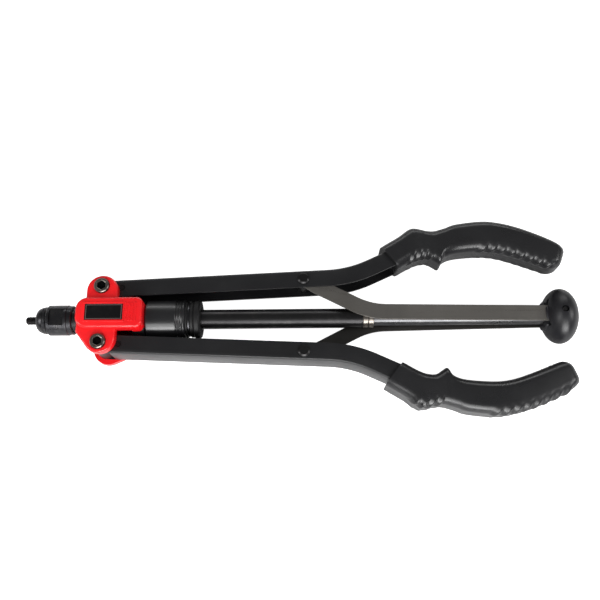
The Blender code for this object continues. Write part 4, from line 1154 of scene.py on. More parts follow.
@dataclass
class LabelPlate:
    """The bare label plate: a thin inset border line on the CAD plate."""

    front_inset: float = 2.5 * MM
    inset: float = 1.6 * MM
    width: float = 0.45 * MM
    rise: float = 0.05 * MM

    def build(self) -> list[bpy.types.Object]:
        """Makes the border as a flat closed frame that is sunk into the plate.

        Returns:
            The pieces that were made.
        """
        low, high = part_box("label_plate")
        front = low.x + self.front_inset
        outer = (front, low.y + self.inset, high.x - self.inset / 2, high.y - self.inset)
        inner = (outer[0] + self.width, outer[1] + self.width, outer[2] - self.width, outer[3] - self.width)
        item = frame_strip("label_border", outer, inner, high.z - self.rise, high.z + self.rise, LABEL_LINE)
        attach(item, "head")
        return [item]


@dataclass(frozen=True)
class RibRow:
    """A row of slanting moulded ribs between two places along a grip's middle line."""

    start: float
    end: float
    count: int


# The grip's mouth in plan, in metres.
MOUTH = (0.06247, 0.04056)
# Stations from the mouth to the end: outer point and inner point, counted from the mouth, and half
# height, all in millimetres.
GRIP_STATIONS = (
    ((-5.2, 9.5), (7.1, -6.2), 13.2),
    ((-0.6, 12.4), (8.8, -5.4), 13.4),
    ((8.0, 17.7), (13.0, -2.9), 13.4),
    ((15.5, 23.4), (19.0, 0.2), 13.2),
    ((20.5, 24.7), (23.5, 1.7), 12.8),
    ((29.5, 22.9), (29.5, 2.0), 12.2),
    ((34.5, 23.0), (34.0, -0.6), 12.0),
    ((38.5, 24.0), (37.8, -2.4), 12.0),
    ((43.0, 25.4), (41.5, 2.6), 12.0),
    ((50.5, 28.0), (50.0, 5.8), 12.2),
    ((68.5, 29.9), (68.5, 7.4), 12.6),
    ((81.5, 28.6), (81.0, 6.2), 12.6),
    ((95.5, 24.8), (94.5, 2.0), 12.4),
    ((111.5, 18.4), (108.0, -3.2), 12.0),
    ((121.5, 13.4), (116.0, -6.2), 11.4),
    ((126.2, 9.6), (121.2, -5.6), 9.6),
    ((127.5, 7.4), (123.4, -4.0), 7.4),
)


@dataclass
class MouldedGrip:
    """One moulded grip: a lofted body with slanting ribs on its shoulders and a fine parting seam.

    It follows the stations and ribs of the CAD grip, with many more sections.
    """

    side: int
    name: str
    rings: int = 300
    corner: float = 6.5 * MM
    corner_steps: int = 10
    side_steps: int = 9
    rib_height: float = 1.25 * MM
    rib_crest: float = 0.6
    slant: float = 0.5
    low_level: float = 0.2
    low_fade: float = 0.25
    far_top: float = 0.42
    far_fade: float = 0.2
    under_level: float = -0.1
    under_share: float = 0.2
    corner_share: float = 0.6
    corner_gain: float = 1.6
    table_steps: int = 400
    seam_height: float = 0.12 * MM
    seam_width: float = 0.5 * MM
    rows: tuple[RibRow, ...] = (RibRow(11.5 * MM, 31.5 * MM, 4), RibRow(63.5 * MM, 117.5 * MM, 8))

    def build(self) -> list[bpy.types.Object]:
        """Makes the grip's skin in place of its CAD piece.

        Returns:
            The pieces that were made.
        """
        last = len(GRIP_STATIONS) - 1
        shares = [k * last / self.table_steps for k in range(self.table_steps + 1)]
        self._table = [(self._reach(share), share) for share in shares]
        rings = [self._ring(k * last / self.rings) for k in range(self.rings + 1)]
        name = "moulded_grip_" + self.name
        item = mesh_object(name, lambda shape: grid_solid(shape, rings), MOULDED_PLASTIC)
        auto_smooth(item, GRIP_SHARP)
        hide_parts("grip_" + self.name)
        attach(item, "arm_" + self.name)
        return [item]

    @staticmethod
    def _row(share: float) -> tuple[Vector, Vector, float]:
        """Outer point, inner point and half height at a share of the stations.

        Args:
            share: Place along the stations, counted in stations.

        Returns:
            The two points and the half height.
        """
        rows = [[*outer, *inner, tall] for outer, inner, tall in GRIP_STATIONS]
        last = len(rows) - 1
        place = min(max(share, 0.0), float(last))
        index = min(int(place), last - 1)
        step = place - index
        row = []
        for values in zip(*rows):
            a, b, c, d = (values[min(max(index + k, 0), last)] for k in (-1, 0, 1, 2))
            rise, curve, twist = c - a, 2 * a - 5 * b + 4 * c - d, 3 * b - a - 3 * c + d
            row.append(0.5 * (2 * b + rise * step + curve * step**2 + twist * step**3) * MM)
        mouth = Vector(MOUTH)
        return Vector(row[0:2]) + mouth, Vector(row[2:4]) + mouth, row[4]

    def _reach(self, share: float) -> float:
        """How far the middle line has come at a share of the stations."""
        outer, inner, _ = self._row(share)
        return (outer.x + inner.x) / 2 - MOUTH[0]

    def _share_at(self, reach: float) -> float:
        """The share at which the middle line has come that far, from the table.

        Args:
            reach: Place along the grip's middle line.

        Returns:
            The share.
        """
        for (near, first), (far, second) in zip(self._table, self._table[1:]):
            if far >= reach:
                step = min(max((reach - near) / max(far - near, TINY), 0.0), 1.0)
                return first + (second - first) * step
        return self._table[-1][1]

    def _wave(self, reach: float) -> tuple[float, float]:
        """Height of the rib and amount of its slant at a place along the middle line.

        Args:
            reach: Place along the grip's middle line.

        Returns:
            The rib's height from 0 to 1, and the slant's amount.
        """
        best_fade = 0.0
        for row in self.rows:
            pitch = (row.end - row.start) / row.count
            outside = max(row.start - reach, reach - row.end, 0.0)
            best_fade = max(best_fade, 1.0 - outside / pitch)
            if row.start < reach < row.end:
                phase = (reach - row.start) / pitch % 1.0
                if phase < self.rib_crest:
                    return 0.5 - 0.5 * math.cos(math.pi * phase / self.rib_crest), 1.0
                past_crest = (phase - self.rib_crest) / (1.0 - self.rib_crest)
                return 0.5 + 0.5 * math.cos(math.pi * past_crest), 1.0
        return 0.0, best_fade

    def _ring(self, share: float) -> list[Vector]:
        """One section of the grip, with its ribs and its seam.

        Args:
            share: Place along the stations, counted in stations.

        Returns:
            The section's points.
        """
        outer, inner, tall = self._row(share)
        reach = (outer - inner).length / 2
        along = self._reach(share)
        wave, fade = self._wave(along)
        points = []
        for b, z, raised in self._section(reach, tall):
            near, far = outer, inner
            if fade > 0.0:
                lean = self.slant * fade * (abs(z) - tall / 2)
                near, far, _ = self._row(self._share_at(along + lean))
            seam = self.seam_height * max(1.0 - abs(z) / self.seam_width, 0.0)
            lift = self.rib_height * wave * raised + seam
            sideways = b * (near - far).length / 2 / reach + math.copysign(lift, b)
            place = (near + far) / 2 + (near - far).normalized() * sideways
            points.append(Vector((place.x, self.side * place.y, AXIS_HEIGHT + z)))
        return points

    def _side_share(self, right: int, level: float) -> float:
        """Share of the ribs by side: full on the near shoulder, low on the far side.

        Args:
            right: 1 on the outer side and -1 on the inner side.
            level: Height as a share of the half height.

        Returns:
            The share.
        """
        if right * self.side < 0:
            return min(max((level - self.under_level) / self.low_fade, self.under_share), 1.0)
        return min(max((self.far_top - level) / self.far_fade, 0.0), 1.0)

    def _section(self, reach: float, tall: float) -> list[tuple[float, float, float]]:
        """(sideways, height, share of the rib) around one section.

        Args:
            reach: Half width of the section.
            tall: Half height of the section.

        Returns:
            The points, in order round the section.
        """
        corner = min(self.corner, reach * self.corner_share, tall * self.corner_share)
        points = []
        for quarter, (right, up) in enumerate(((1, 1), (-1, 1), (-1, -1), (1, -1))):
            centre = (right * (reach - corner), up * (tall - corner))
            arc = []
            for k in range(self.corner_steps + 1):
                angle = math.pi / 2 * (quarter + k / self.corner_steps)
                b, z = centre[0] + corner * math.cos(angle), centre[1] + corner * math.sin(angle)
                raised = min(abs(b - centre[0]) / corner * self.corner_gain, 1.0)
                arc.append((b, z, raised * self._side_share(right, z / tall)))
            side = []
            for k in range(self.side_steps):
                level = (tall - corner) * (k + 0.5) / self.side_steps
                raised = min(max((level / tall - self.low_level) / self.low_fade, 0.0), 1.0)
                raised *= self._side_share(right, up * level / tall)
                side.append((right * reach, up * level, raised))
            points += [*side, *arc] if right == up else [*arc, *reversed(side)]
        return points


@dataclass
class TurnedKnob:
    """The push knob: a smooth rounded mushroom with its cross hole, rod socket and link slots."""

    steps_round: int = TURNED_STEPS
    rows: int = 40
    crown: float = 12.0 * MM
    face_angle: float = math.radians(12.0)
    hub_angle: float = math.radians(148.0)
    hub_chamfer: float = 0.6 * MM
    pin_setback: float = 13.5 * MM
    pin_hole_radius: float = 2.3 * MM
    socket_radius: float = 5.8 * MM
    socket_depth: float = 19.3 * MM
    tool_reach: float = 30.0 * MM
    slot_gap: float = 0.3 * MM
    slot_overrun: float = 2.0 * MM
    level_tolerance: float = 0.01 * MM
    pole_shares: tuple[float, float] = (0.3, 0.7)

    def build(self) -> list[bpy.types.Object]:
        """Makes the knob in place of its CAD piece, with the slots where the CAD piece has them.

        Returns:
            The pieces that were made.
        """
        low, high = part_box("knob")
        radius = (high.z - low.z) / 2
        rings = [circle(x, r, self.steps_round) for x, r in self._profile(low.x, high.x, radius)]
        item = mesh_object("turned_knob", lambda shape: grid_solid(shape, rings), KNOB_PLASTIC)
        pin_x = high.x - self.pin_setback
        base, top = AXIS_HEIGHT - self.tool_reach, AXIS_HEIGHT + self.tool_reach
        tools = [
            upright_bar("knob_cross_tool", pin_x, 0.0, base, top, self.pin_hole_radius),
            axis_bar("knob_socket_tool", low.x - MM, low.x + self.socket_depth, self.socket_radius),
            *(self._slot(f"knob_slot_tool_{side}", side, low.x) for side in (1, -1)),
        ]
        carve(item, tools)
        auto_smooth(item, PLAIN_SHARP)
        SHOP.put_on(item, KNOB_PLASTIC)
        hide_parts("knob")
        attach(item, "plunger")
        return [item]

    def _profile(self, front: float, rear: float, radius: float) -> list[tuple[float, float]]:
        """The knob's outline, from its face to its hub.

        Args:
            front: Place of the front end.
            rear: Place of the rear end.
            radius: Radius.

        Returns:
            Place along the axis and radius of each point.
        """
        centre = rear - self.crown
        length = self.crown / math.cos(self.face_angle)
        outline = []
        for k in range(self.rows + 1):
            angle = self.face_angle + (self.hub_angle - self.face_angle) * k / self.rows
            outline.append((centre + length * math.cos(angle), radius * math.sin(angle)))
        hub = outline[-1][1]
        pole = [(rear, outline[0][1] * share) for share in self.pole_shares]
        return [*pole, *outline, (front + self.hub_chamfer, hub), (front, hub - self.hub_chamfer)]

    def _slot(self, name: str, side: int, front: float) -> bpy.types.Object:
        """A prism over the slot's outline, read from the CAD knob's own corners at the slot's levels.

        Args:
            name: Name of the object.
            side: 1 for the upper side and -1 for the lower side.
            front: Place of the front end.

        Returns:
            The tool.
        """
        link_low, link_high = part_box("link_upper" if side > 0 else "link_lower")
        low, high = link_low.z - self.slot_gap, link_high.z + self.slot_gap
        inside = [
            vertex.co.xy
            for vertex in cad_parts["knob"].data.vertices
            if min(abs(vertex.co.z - low), abs(vertex.co.z - high)) < self.level_tolerance
        ]
        widest = max(abs(point.y) for point in inside)
        mouth = front - self.slot_overrun
        points = [*inside, Vector((mouth, widest)), Vector((mouth, -widest))]

        def build(shape: bmesh.types.BMesh) -> None:
            """Fills the shape with the hull of the outline at both levels.

            Args:
                shape: The bmesh that takes the geometry.
            """
            for point in points:
                shape.verts.new((point.x, point.y, low))
                shape.verts.new((point.x, point.y, high))
            hull = bmesh.ops.convex_hull(shape, input=shape.verts)
            loose = [v for v in hull["geom_interior"] if isinstance(v, bmesh.types.BMVert)]
            bmesh.ops.delete(shape, geom=loose, context="VERTS")

        return mesh_object(name, build, PAINTED_HOLLOW_SHADE)


@dataclass
class HeadCasting:
    """The red casting: a raised boss with two rounder ears, hollowed for the arms, nose and barrel.

    It stands for the CAD head, whose seats, bores and window it keeps.
    """

    front_setback: float = 4.3 * MM
    front_corner: float = 8.0 * MM
    half_width: float = 10.9 * MM
    rear_corner: float = 4.0 * MM
    edge: float = 1.7 * MM
    pivot: tuple[float, float] = (-138.5 * MM, 20.0 * MM)
    ear_radius: float = 10.8 * MM
    ear_offset: float = 17.0 * MM
    sole_offset: float = 18.8 * MM
    sole_front: float = 8.0 * MM
    slope_start: float = 13.0 * MM
    tail: tuple[float, float] = (-126.8 * MM, 25.6 * MM)
    ear_reach: float = 17.0 * MM
    ear_edge: float = 1.3 * MM
    cheek: float = 11.3 * MM
    window: tuple[float, float] = (-150.5 * MM, -117.0 * MM)
    sleeve_bore: float = 9.0 * MM
    barrel_bore: float = 10.3 * MM
    seat_radius: float = 5.6 * MM
    seat_depth: float = 1.2 * MM
    nut_radius: float = 6.0 * MM
    nut_depth: float = 3.0 * MM
    arc_steps: int = 12
    circle_steps: int = 64
    ear_shift: float = 0.4 * MM
    ear_setback: float = 0.4 * MM
    bolt_bore: float = 3.8 * MM
    window_reach: float = 40.0 * MM
    label_gap: float = 0.3 * MM
    label_sink: float = 0.02 * MM

    def build(self) -> list[bpy.types.Object]:
        """Makes the casting in place of its CAD piece.

        Returns:
            The pieces that were made.
        """
        low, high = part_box("head_casting")
        front, rear = low.x + self.front_setback, high.x
        boss = self._boss(front, rear)
        item = rounded_prism("cast_head", boss, low.z, high.z, self.edge, RED_ENAMEL)
        middle = (low.z + high.z) / 2
        ears = []
        for side in (1, -1):
            top, base = middle + self.ear_reach, middle - self.ear_reach
            upper, lower = self._ear(side, front + self.ear_setback), self._sole(side, front)
            ears.append(rounded_prism(f"ear_tool_{side}", upper, middle, top, self.ear_edge, RED_ENAMEL))
            ears.append(rounded_prism(f"sole_tool_{side}", lower, base, middle, self.ear_edge, RED_ENAMEL))
        carve(item, ears, "UNION")
        tools = [
            block(
                "window_tool",
                (self.window[0], -self.window_reach, middle - self.cheek),
                (self.window[1], self.window_reach, middle + self.cheek),
            ),
            axis_bar("sleeve_tool", front - MM, self.window[0] + MM, self.sleeve_bore),
            axis_bar("barrel_tool", self.window[1] - MM, rear + MM, self.barrel_bore),
        ]
        for side in (1, -1):
            x, y = self.pivot[0], side * self.pivot[1]
            top, base = middle + self.ear_reach, middle - self.ear_reach
            tools += [
                upright_bar(f"bolt_tool_{side}", x, y, base - MM, top + MM, self.bolt_bore),
                upright_bar(f"seat_tool_{side}", x, y, top - self.seat_depth, high.z + MM, self.seat_radius),
                upright_bar(f"nut_tool_{side}", x, y, low.z - MM, base + self.nut_depth, self.nut_radius),
            ]
        plate_low, plate_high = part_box("label_plate")
        gap = self.label_gap
        tools.append(
            block(
                "label_tool",
                (plate_low.x - gap, plate_low.y - gap, plate_low.z - self.label_sink),
                (plate_high.x + gap, plate_high.y + gap, high.z + MM),
            )
        )
        carve(item, tools)
        auto_smooth(item, CAST_SHARP)
        SHOP.put_on(item, RED_ENAMEL)
        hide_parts("head_casting")
        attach(item, "head")
        return [item]

    def _arc(self, x: float, y: float, radius: float, start: float, end: float) -> list[Vector]:
        """Points on an arc in plan, its ends included, angles in degrees.

        Args:
            x: Place along the tool's axis.
            y: Place across the tool's axis.
            radius: Radius.
            start: First angle.
            end: Last angle.

        Returns:
            The points.
        """
        return [
            Vector((x + radius * math.cos(angle), y + radius * math.sin(angle)))
            for angle in (
                math.radians(start + (end - start) * k / self.arc_steps) for k in range(self.arc_steps + 1)
            )
        ]

    def _boss(self, front: float, rear: float) -> list[Vector]:
        """Plan of the middle boss, with rounder corners in front.

        Args:
            front: Place of the front end.
            rear: Place of the rear end.

        Returns:
            The outline.
        """
        half, corner, turn = self.half_width, self.front_corner, self.rear_corner
        return [
            *self._arc(front + corner, half - corner, corner, 90, 180),
            *self._arc(front + corner, corner - half, corner, 180, 270),
            *self._arc(rear - turn, turn - half, turn, 270, 360),
            *self._arc(rear - turn, half - turn, turn, 0, 90),
        ]

    def _ear(self, side: int, front: float) -> list[Vector]:
        """Plan of the ear over an arm; the one nearer the viewer slopes from the casting's front.

        Args:
            side: 1 for the upper side and -1 for the lower side.
            front: Place of the front end.

        Returns:
            The outline.
        """
        x, y, radius = self.pivot[0] + self.ear_shift, side * self.ear_offset, self.ear_radius
        corners = [(x - radius, 0.0), (x + radius, 0.0)]
        if side < 0:
            corners += [(front, 0.0), (front, -self.slope_start)]
        return hull_outline([*corners, *plan_circle(x, y, radius, self.circle_steps)])

    def _sole(self, side: int, front: float) -> list[Vector]:
        """Plan of the ear under an arm: it slopes from the casting's front and ends in a short tail.

        Args:
            side: 1 for the upper side and -1 for the lower side.
            front: Place of the front end.

        Returns:
            The outline.
        """
        x, y, radius = self.pivot[0] + self.ear_shift, side * self.sole_offset, self.ear_radius
        tail = (self.tail[0], side * self.tail[1])
        corners = [(front, 0.0), (front, side * self.sole_front), (x + radius, 0.0), tail]
        return hull_outline([*corners, *plan_circle(x, y, radius, self.circle_steps)])


@dataclass
class PivotBolt:
    """A pivot bolt with a flat head, a chamfered rim and a deep six-sided socket."""

    side: int
    name: str
    radius: float = 5.2 * MM
    rim: float = 0.5 * MM
    shank: float = 3.5 * MM
    head_height: float = 3.2 * MM
    socket: float = 3.3 * MM
    socket_rim: float = 3.8 * MM
    socket_depth: float = 2.4 * MM
    socket_chamfer: float = 0.35 * MM
    shade_depth: float = 0.3 * MM
    steps: int = BAR_STEPS
    centre: tuple[float, float] = (-138.5 * MM, 20.0 * MM)

    def build(self) -> list[bpy.types.Object]:
        """Makes the bolt in place of its CAD piece.

        Returns:
            The pieces that were made.
        """
        low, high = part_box("pivot_bolt_" + self.name)
        top, seat = high.z, high.z - self.head_height
        rows = (
            (low.z, self.shank, False),
            (seat, self.shank, False),
            (seat, self.radius, False),
            (top - self.rim, self.radius, False),
            (top, self.radius - self.rim, False),
            (top, self.socket_rim, False),
            (top - self.socket_chamfer, self.socket, True),
            (top - self.socket_depth, self.socket, True),
        )
        rings = [self._ring(*row) for row in rows]
        item = mesh_object("socket_bolt_" + self.name, lambda shape: grid_solid(shape, rings), BOLT_STEEL)
        auto_smooth(item, PLAIN_SHARP)
        # The socket's walls and floor below a shallow lip get the near-black painted shade instead of the
        # bolt's steel.
        item.data.materials.append(SHOP.material(PAINTED_HOLLOW_SHADE))
        for polygon in item.data.polygons:
            place = polygon.center
            away = math.hypot(place.x - self.centre[0], place.y - self.side * self.centre[1])
            if away < self.socket and seat < place.z < top - self.shade_depth:
                polygon.material_index = 1
        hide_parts("pivot_bolt_" + self.name)
        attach(item, "head")
        return [item]

    def _ring(self, z: float, radius: float, six_sided: bool) -> list[Vector]:
        """One ring round the bolt, round or six-sided.

        Args:
            z: Height.
            radius: Radius.
            six_sided: Whether it follows the socket.

        Returns:
            The points.
        """
        points = []
        for k in range(self.steps):
            angle = math.tau * k / self.steps
            reach = radius
            if six_sided:
                reach *= math.cos(math.pi / 6) / math.cos((angle + math.pi / 6) % (math.pi / 3) - math.pi / 6)
            x = self.centre[0] + reach * math.cos(angle)
            points.append(Vector((x, self.side * self.centre[1] + reach * math.sin(angle), z)))
        return points


@dataclass
class NoseHousing:
    """The nose housing: a turned sleeve with chamfered ends and two deep spanner flats."""

    steps: int = TURNED_STEPS
    chamfer: float = 1.0 * MM
    flat: float = 8.95 * MM
    flat_front: float = 2.6 * MM
    flat_rear: float = 5.4 * MM
    skirt: float = 3.6 * MM
    skirt_step: float = 0.5 * MM
    bore_front: float = 6.0 * MM
    bore_middle: float = 7.4 * MM
    bore_rear: float = 9.0 * MM
    bore_front_depth: float = 5.0 * MM
    bore_rear_depth: float = 1.8 * MM
    blend: float = 0.25 * MM

    def build(self) -> list[bpy.types.Object]:
        """Makes the housing in place of its CAD piece.

        Returns:
            The pieces that were made.
        """
        low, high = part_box("nose_housing")
        radius = (high.z - low.z) / 2
        front, rear, step = low.x, high.x + self.skirt, self.blend
        skirt = radius - self.skirt_step
        rows = [
            (front, radius - self.chamfer, False),
            (front + self.chamfer, radius, False),
            (front + self.flat_front, radius, False),
            (front + self.flat_front + step, radius, True),
            (rear - self.flat_rear - step, radius, True),
            (rear - self.flat_rear, radius, False),
            (rear - self.skirt, radius, False),
            (rear - self.skirt + step, skirt, False),
            (rear - self.chamfer / 2, skirt, False),
            (rear, skirt - self.chamfer / 2, False),
            (rear, self.bore_rear, False),
            (rear - self.bore_rear_depth, self.bore_rear, False),
            (rear - self.bore_rear_depth, self.bore_middle, False),
            (front + self.bore_front_depth, self.bore_middle, False),
            (front + self.bore_front_depth, self.bore_front, False),
            (front, self.bore_front, False),
        ]
        rings = [self._ring(*row) for row in rows]
        item = mesh_object("flatted_housing", lambda shape: ring_solid(shape, rings), GUN_STEEL)
        auto_smooth(item, TURNED_SHARP)
        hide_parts("nose_housing")
        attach(item, "nose")
        return [item]

    def _ring(self, x: float, radius: float, flatted: bool) -> list[Vector]:
        """One ring round the housing, cut off at the flats where it has them.

        Args:
            x: Place along the tool's axis.
            radius: Radius.
            flatted: Whether it has the flats.

        Returns:
            The points.
        """
        points = circle(x, radius, self.steps)
        if flatted:
            for point in points:
                point.z = AXIS_HEIGHT + min(max(point.z - AXIS_HEIGHT, -self.flat), self.flat)
        return points


@dataclass
class BluntNosepiece:
    """The nosepiece: a blunt turned cone with a groove before the housing.

    Each row is a place behind its front face and a radius, in millimetres.
    """

    steps: int = TURNED_STEPS
    rows: tuple[tuple[float, float], ...] = (
        (0.0, 3.3),
        (0.0, 6.9),
        (0.35, 7.3),
        (1.3, 8.3),
        (3.0, 9.1),
        (4.6, 9.5),
        (4.7, 9.1),
        (5.2, 9.1),
        (5.3, 9.6),
        (6.9, 9.7),
        (7.05, 9.4),
        (7.05, 5.7),
        (11.0, 5.7),
        (11.0, 3.3),
    )

    def build(self) -> list[bpy.types.Object]:
        """Makes the nosepiece in place of its CAD piece.

        Returns:
            The pieces that were made.
        """
        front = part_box("nosepiece")[0].x
        rings = [circle(front + x * MM, radius * MM, self.steps) for x, radius in self.rows]
        item = mesh_object("blunt_nosepiece", lambda shape: ring_solid(shape, rings), GUN_STEEL)
        auto_smooth(item, TURNED_SHARP)
        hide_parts("nosepiece")
        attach(item, "nose")
        return [item]


@dataclass
class BarrelTrim:
    """Rings round the barrel: a shoulder at the head, and two lips with a steel band between them.

    Each ring has its front, rear, radius and bore.
    """

    shoulder: tuple[float, float, float, float] = (-117.6 * MM, -109.2 * MM, 13.6 * MM, 10.6 * MM)
    end_lip: tuple[float, float, float, float] = (-80.9 * MM, -79.2 * MM, 13.0 * MM, 10.2 * MM)
    flange_lip: tuple[float, float, float, float] = (-77.6 * MM, -75.0 * MM, 12.9 * MM, 10.2 * MM)
    band: tuple[float, float, float, float] = (-79.4 * MM, -77.4 * MM, 12.2 * MM, 10.3 * MM)
    chamfer: float = 0.5 * MM
    steps: int = TURNED_STEPS

    def build(self) -> list[bpy.types.Object]:
        """Makes the rings, all fixed to the head.

        Returns:
            The pieces that were made.
        """
        made = []
        for name, sizes, finish, slot in (
            ("barrel_shoulder", self.shoulder, SOFT_BLACK, Slot.BLACK_PAINT),
            ("barrel_end_lip", self.end_lip, SOFT_BLACK, Slot.BLACK_PAINT),
            ("flange_lip", self.flange_lip, SOFT_BLACK, Slot.BLACK_PAINT),
            ("barrel_band", self.band, GUN_STEEL, Slot.BARE_STEEL),
        ):
            front, rear, radius, bore = sizes
            rows = (
                (front, radius - self.chamfer),
                (front + self.chamfer, radius),
                (rear - self.chamfer, radius),
                (rear, radius - self.chamfer),
                (rear, bore),
                (front, bore),
            )
            rings = [circle(x, r, self.steps) for x, r in rows]
            item = mesh_object(name, lambda shape, rings=rings: ring_solid(shape, rings), finish)
            auto_smooth(item, PLAIN_SHARP)
            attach(item, "head")
            made.append(item)
        return made


@dataclass
class HeadTrim:
    """Cast details on the head's top: a rim round the label plate and fine ridges behind it."""

    rim_width: float = 0.5 * MM
    rim_rise: float = 0.45 * MM
    front_cover: float = 1.8 * MM
    side_cover: float = 1.0 * MM
    ridge_count: int = 4
    ridge_pitch: float = 2.2 * MM
    ridge_width: float = 1.0 * MM
    ridge_rise: float = 0.5 * MM
    ridge_length: float = 13.0 * MM
    ridge_gap: float = 1.4 * MM
    rim_sink: float = 0.3 * MM
    rim_edge: float = 0.15 * MM
    ridge_edge: float = 0.1 * MM

    def build(self) -> list[bpy.types.Object]:
        """Makes the rim and the ridges, both of the head's paint.

        Returns:
            The pieces that were made.
        """
        low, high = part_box("label_plate")
        _, head_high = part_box("head_casting")
        top = head_high.z
        side = self.side_cover
        inner = (low.x + self.front_cover, low.y + side, high.x, high.y - side)
        gap = self.rim_width
        outer = (low.x - gap, low.y - gap, high.x + gap, high.y + gap)
        rim = frame_strip("label_rim", outer, inner, top - self.rim_sink, top + self.rim_rise, RED_ENAMEL)
        round_edges(rim, self.rim_edge)
        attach(rim, "head")
        start = Vector((outer[2] + self.ridge_gap, 0.0, top))
        ridges = RidgeRow("head_ridges", start, self.ridge_pitch, self.ridge_count).build(
            Vector((self.ridge_width, self.ridge_length, 2 * self.ridge_rise))
        )
        round_edges(ridges, self.ridge_edge)
        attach(ridges, "head")
        return [rim, ridges]


@dataclass
class RidgeRow:
    """A row of equal bars along X, repeated by a geometry group."""

    name: str
    start: Vector
    pitch: float
    count: int

    def build(self, size: Vector) -> bpy.types.Object:
        """Makes the row as one plain mesh.

        Args:
            size: Length, width and height of one bar.

        Returns:
            The object, with its place in its mesh.
        """
        tree = bpy.data.node_groups.new(self.name + "_row", "GeometryNodeTree")
        sockets = (
            ("Start", "NodeSocketVector", self.start),
            ("Step", "NodeSocketVector", Vector((self.pitch, 0.0, 0.0))),
            ("Count", "NodeSocketInt", self.count),
            ("Size", "NodeSocketVector", size),
        )
        keys = {
            label: tree.interface.new_socket(name=label, in_out="INPUT", socket_type=kind).identifier
            for label, kind, _ in sockets
        }
        tree.interface.new_socket(name="Geometry", in_out="OUTPUT", socket_type="NodeSocketGeometry")
        net = NodeNet(tree)
        entry, leave = net.add("NodeGroupInput"), net.add("NodeGroupOutput")
        line = net.add("GeometryNodeMeshLine", mode="OFFSET")
        bar = net.add("GeometryNodeMeshCube")
        repeat = net.add("GeometryNodeInstanceOnPoints")
        real = net.add("GeometryNodeRealizeInstances")
        paint = net.add("GeometryNodeSetMaterial")
        paint.inputs["Material"].default_value = SHOP.material(RED_ENAMEL)
        net.join(entry.outputs["Start"], line.inputs["Start Location"])
        net.join(entry.outputs["Step"], line.inputs["Offset"])
        net.join(entry.outputs["Count"], line.inputs["Count"])
        net.join(entry.outputs["Size"], bar.inputs["Size"])
        net.join(line.outputs["Mesh"], repeat.inputs["Points"])
        net.join(bar.outputs["Mesh"], repeat.inputs["Instance"])
        net.join(repeat.outputs["Instances"], real.inputs["Geometry"])
        net.join(real.outputs["Geometry"], paint.inputs["Geometry"])
        net.join(paint.outputs["Geometry"], leave.inputs["Geometry"])
        carrier = bpy.data.objects.new(self.name, bpy.data.meshes.new(self.name))
        bpy.context.scene.collection.objects.link(carrier)
        modifier = carrier.modifiers.new("row", "NODES")
        modifier.node_group = tree
        for label, _, value in sockets:
            modifier[keys[label]] = value
        bpy.context.view_layer.update()
        solid = bpy.data.meshes.new_from_object(carrier.evaluated_get(bpy.context.evaluated_depsgraph_get()))
        carrier.modifiers.clear()
        carrier.data = solid
        return SHOP.put_on(carrier, RED_ENAMEL)


@dataclass(frozen=True)
class Softbox:
    """One rectangular light that faces the middle of the tool."""

    name: str
    place: tuple[float, float, float]
    wide: float
    deep: float
    power: float

    def build(self, aim: Vector) -> None:
        """Hangs the light, facing a point.

        Args:
            aim: The point that it faces.
        """
        data = bpy.data.lights.new(self.name, "AREA")
        data.shape = "RECTANGLE"
        data.size = self.wide
        data.size_y = self.deep
        data.energy = self.power
        light = bpy.data.objects.new(self.name, data)
        light.location = self.place
        light.rotation_euler = (aim - Vector(self.place)).to_track_quat("-Z", "Y").to_euler()
        bpy.context.scene.collection.objects.link(light)


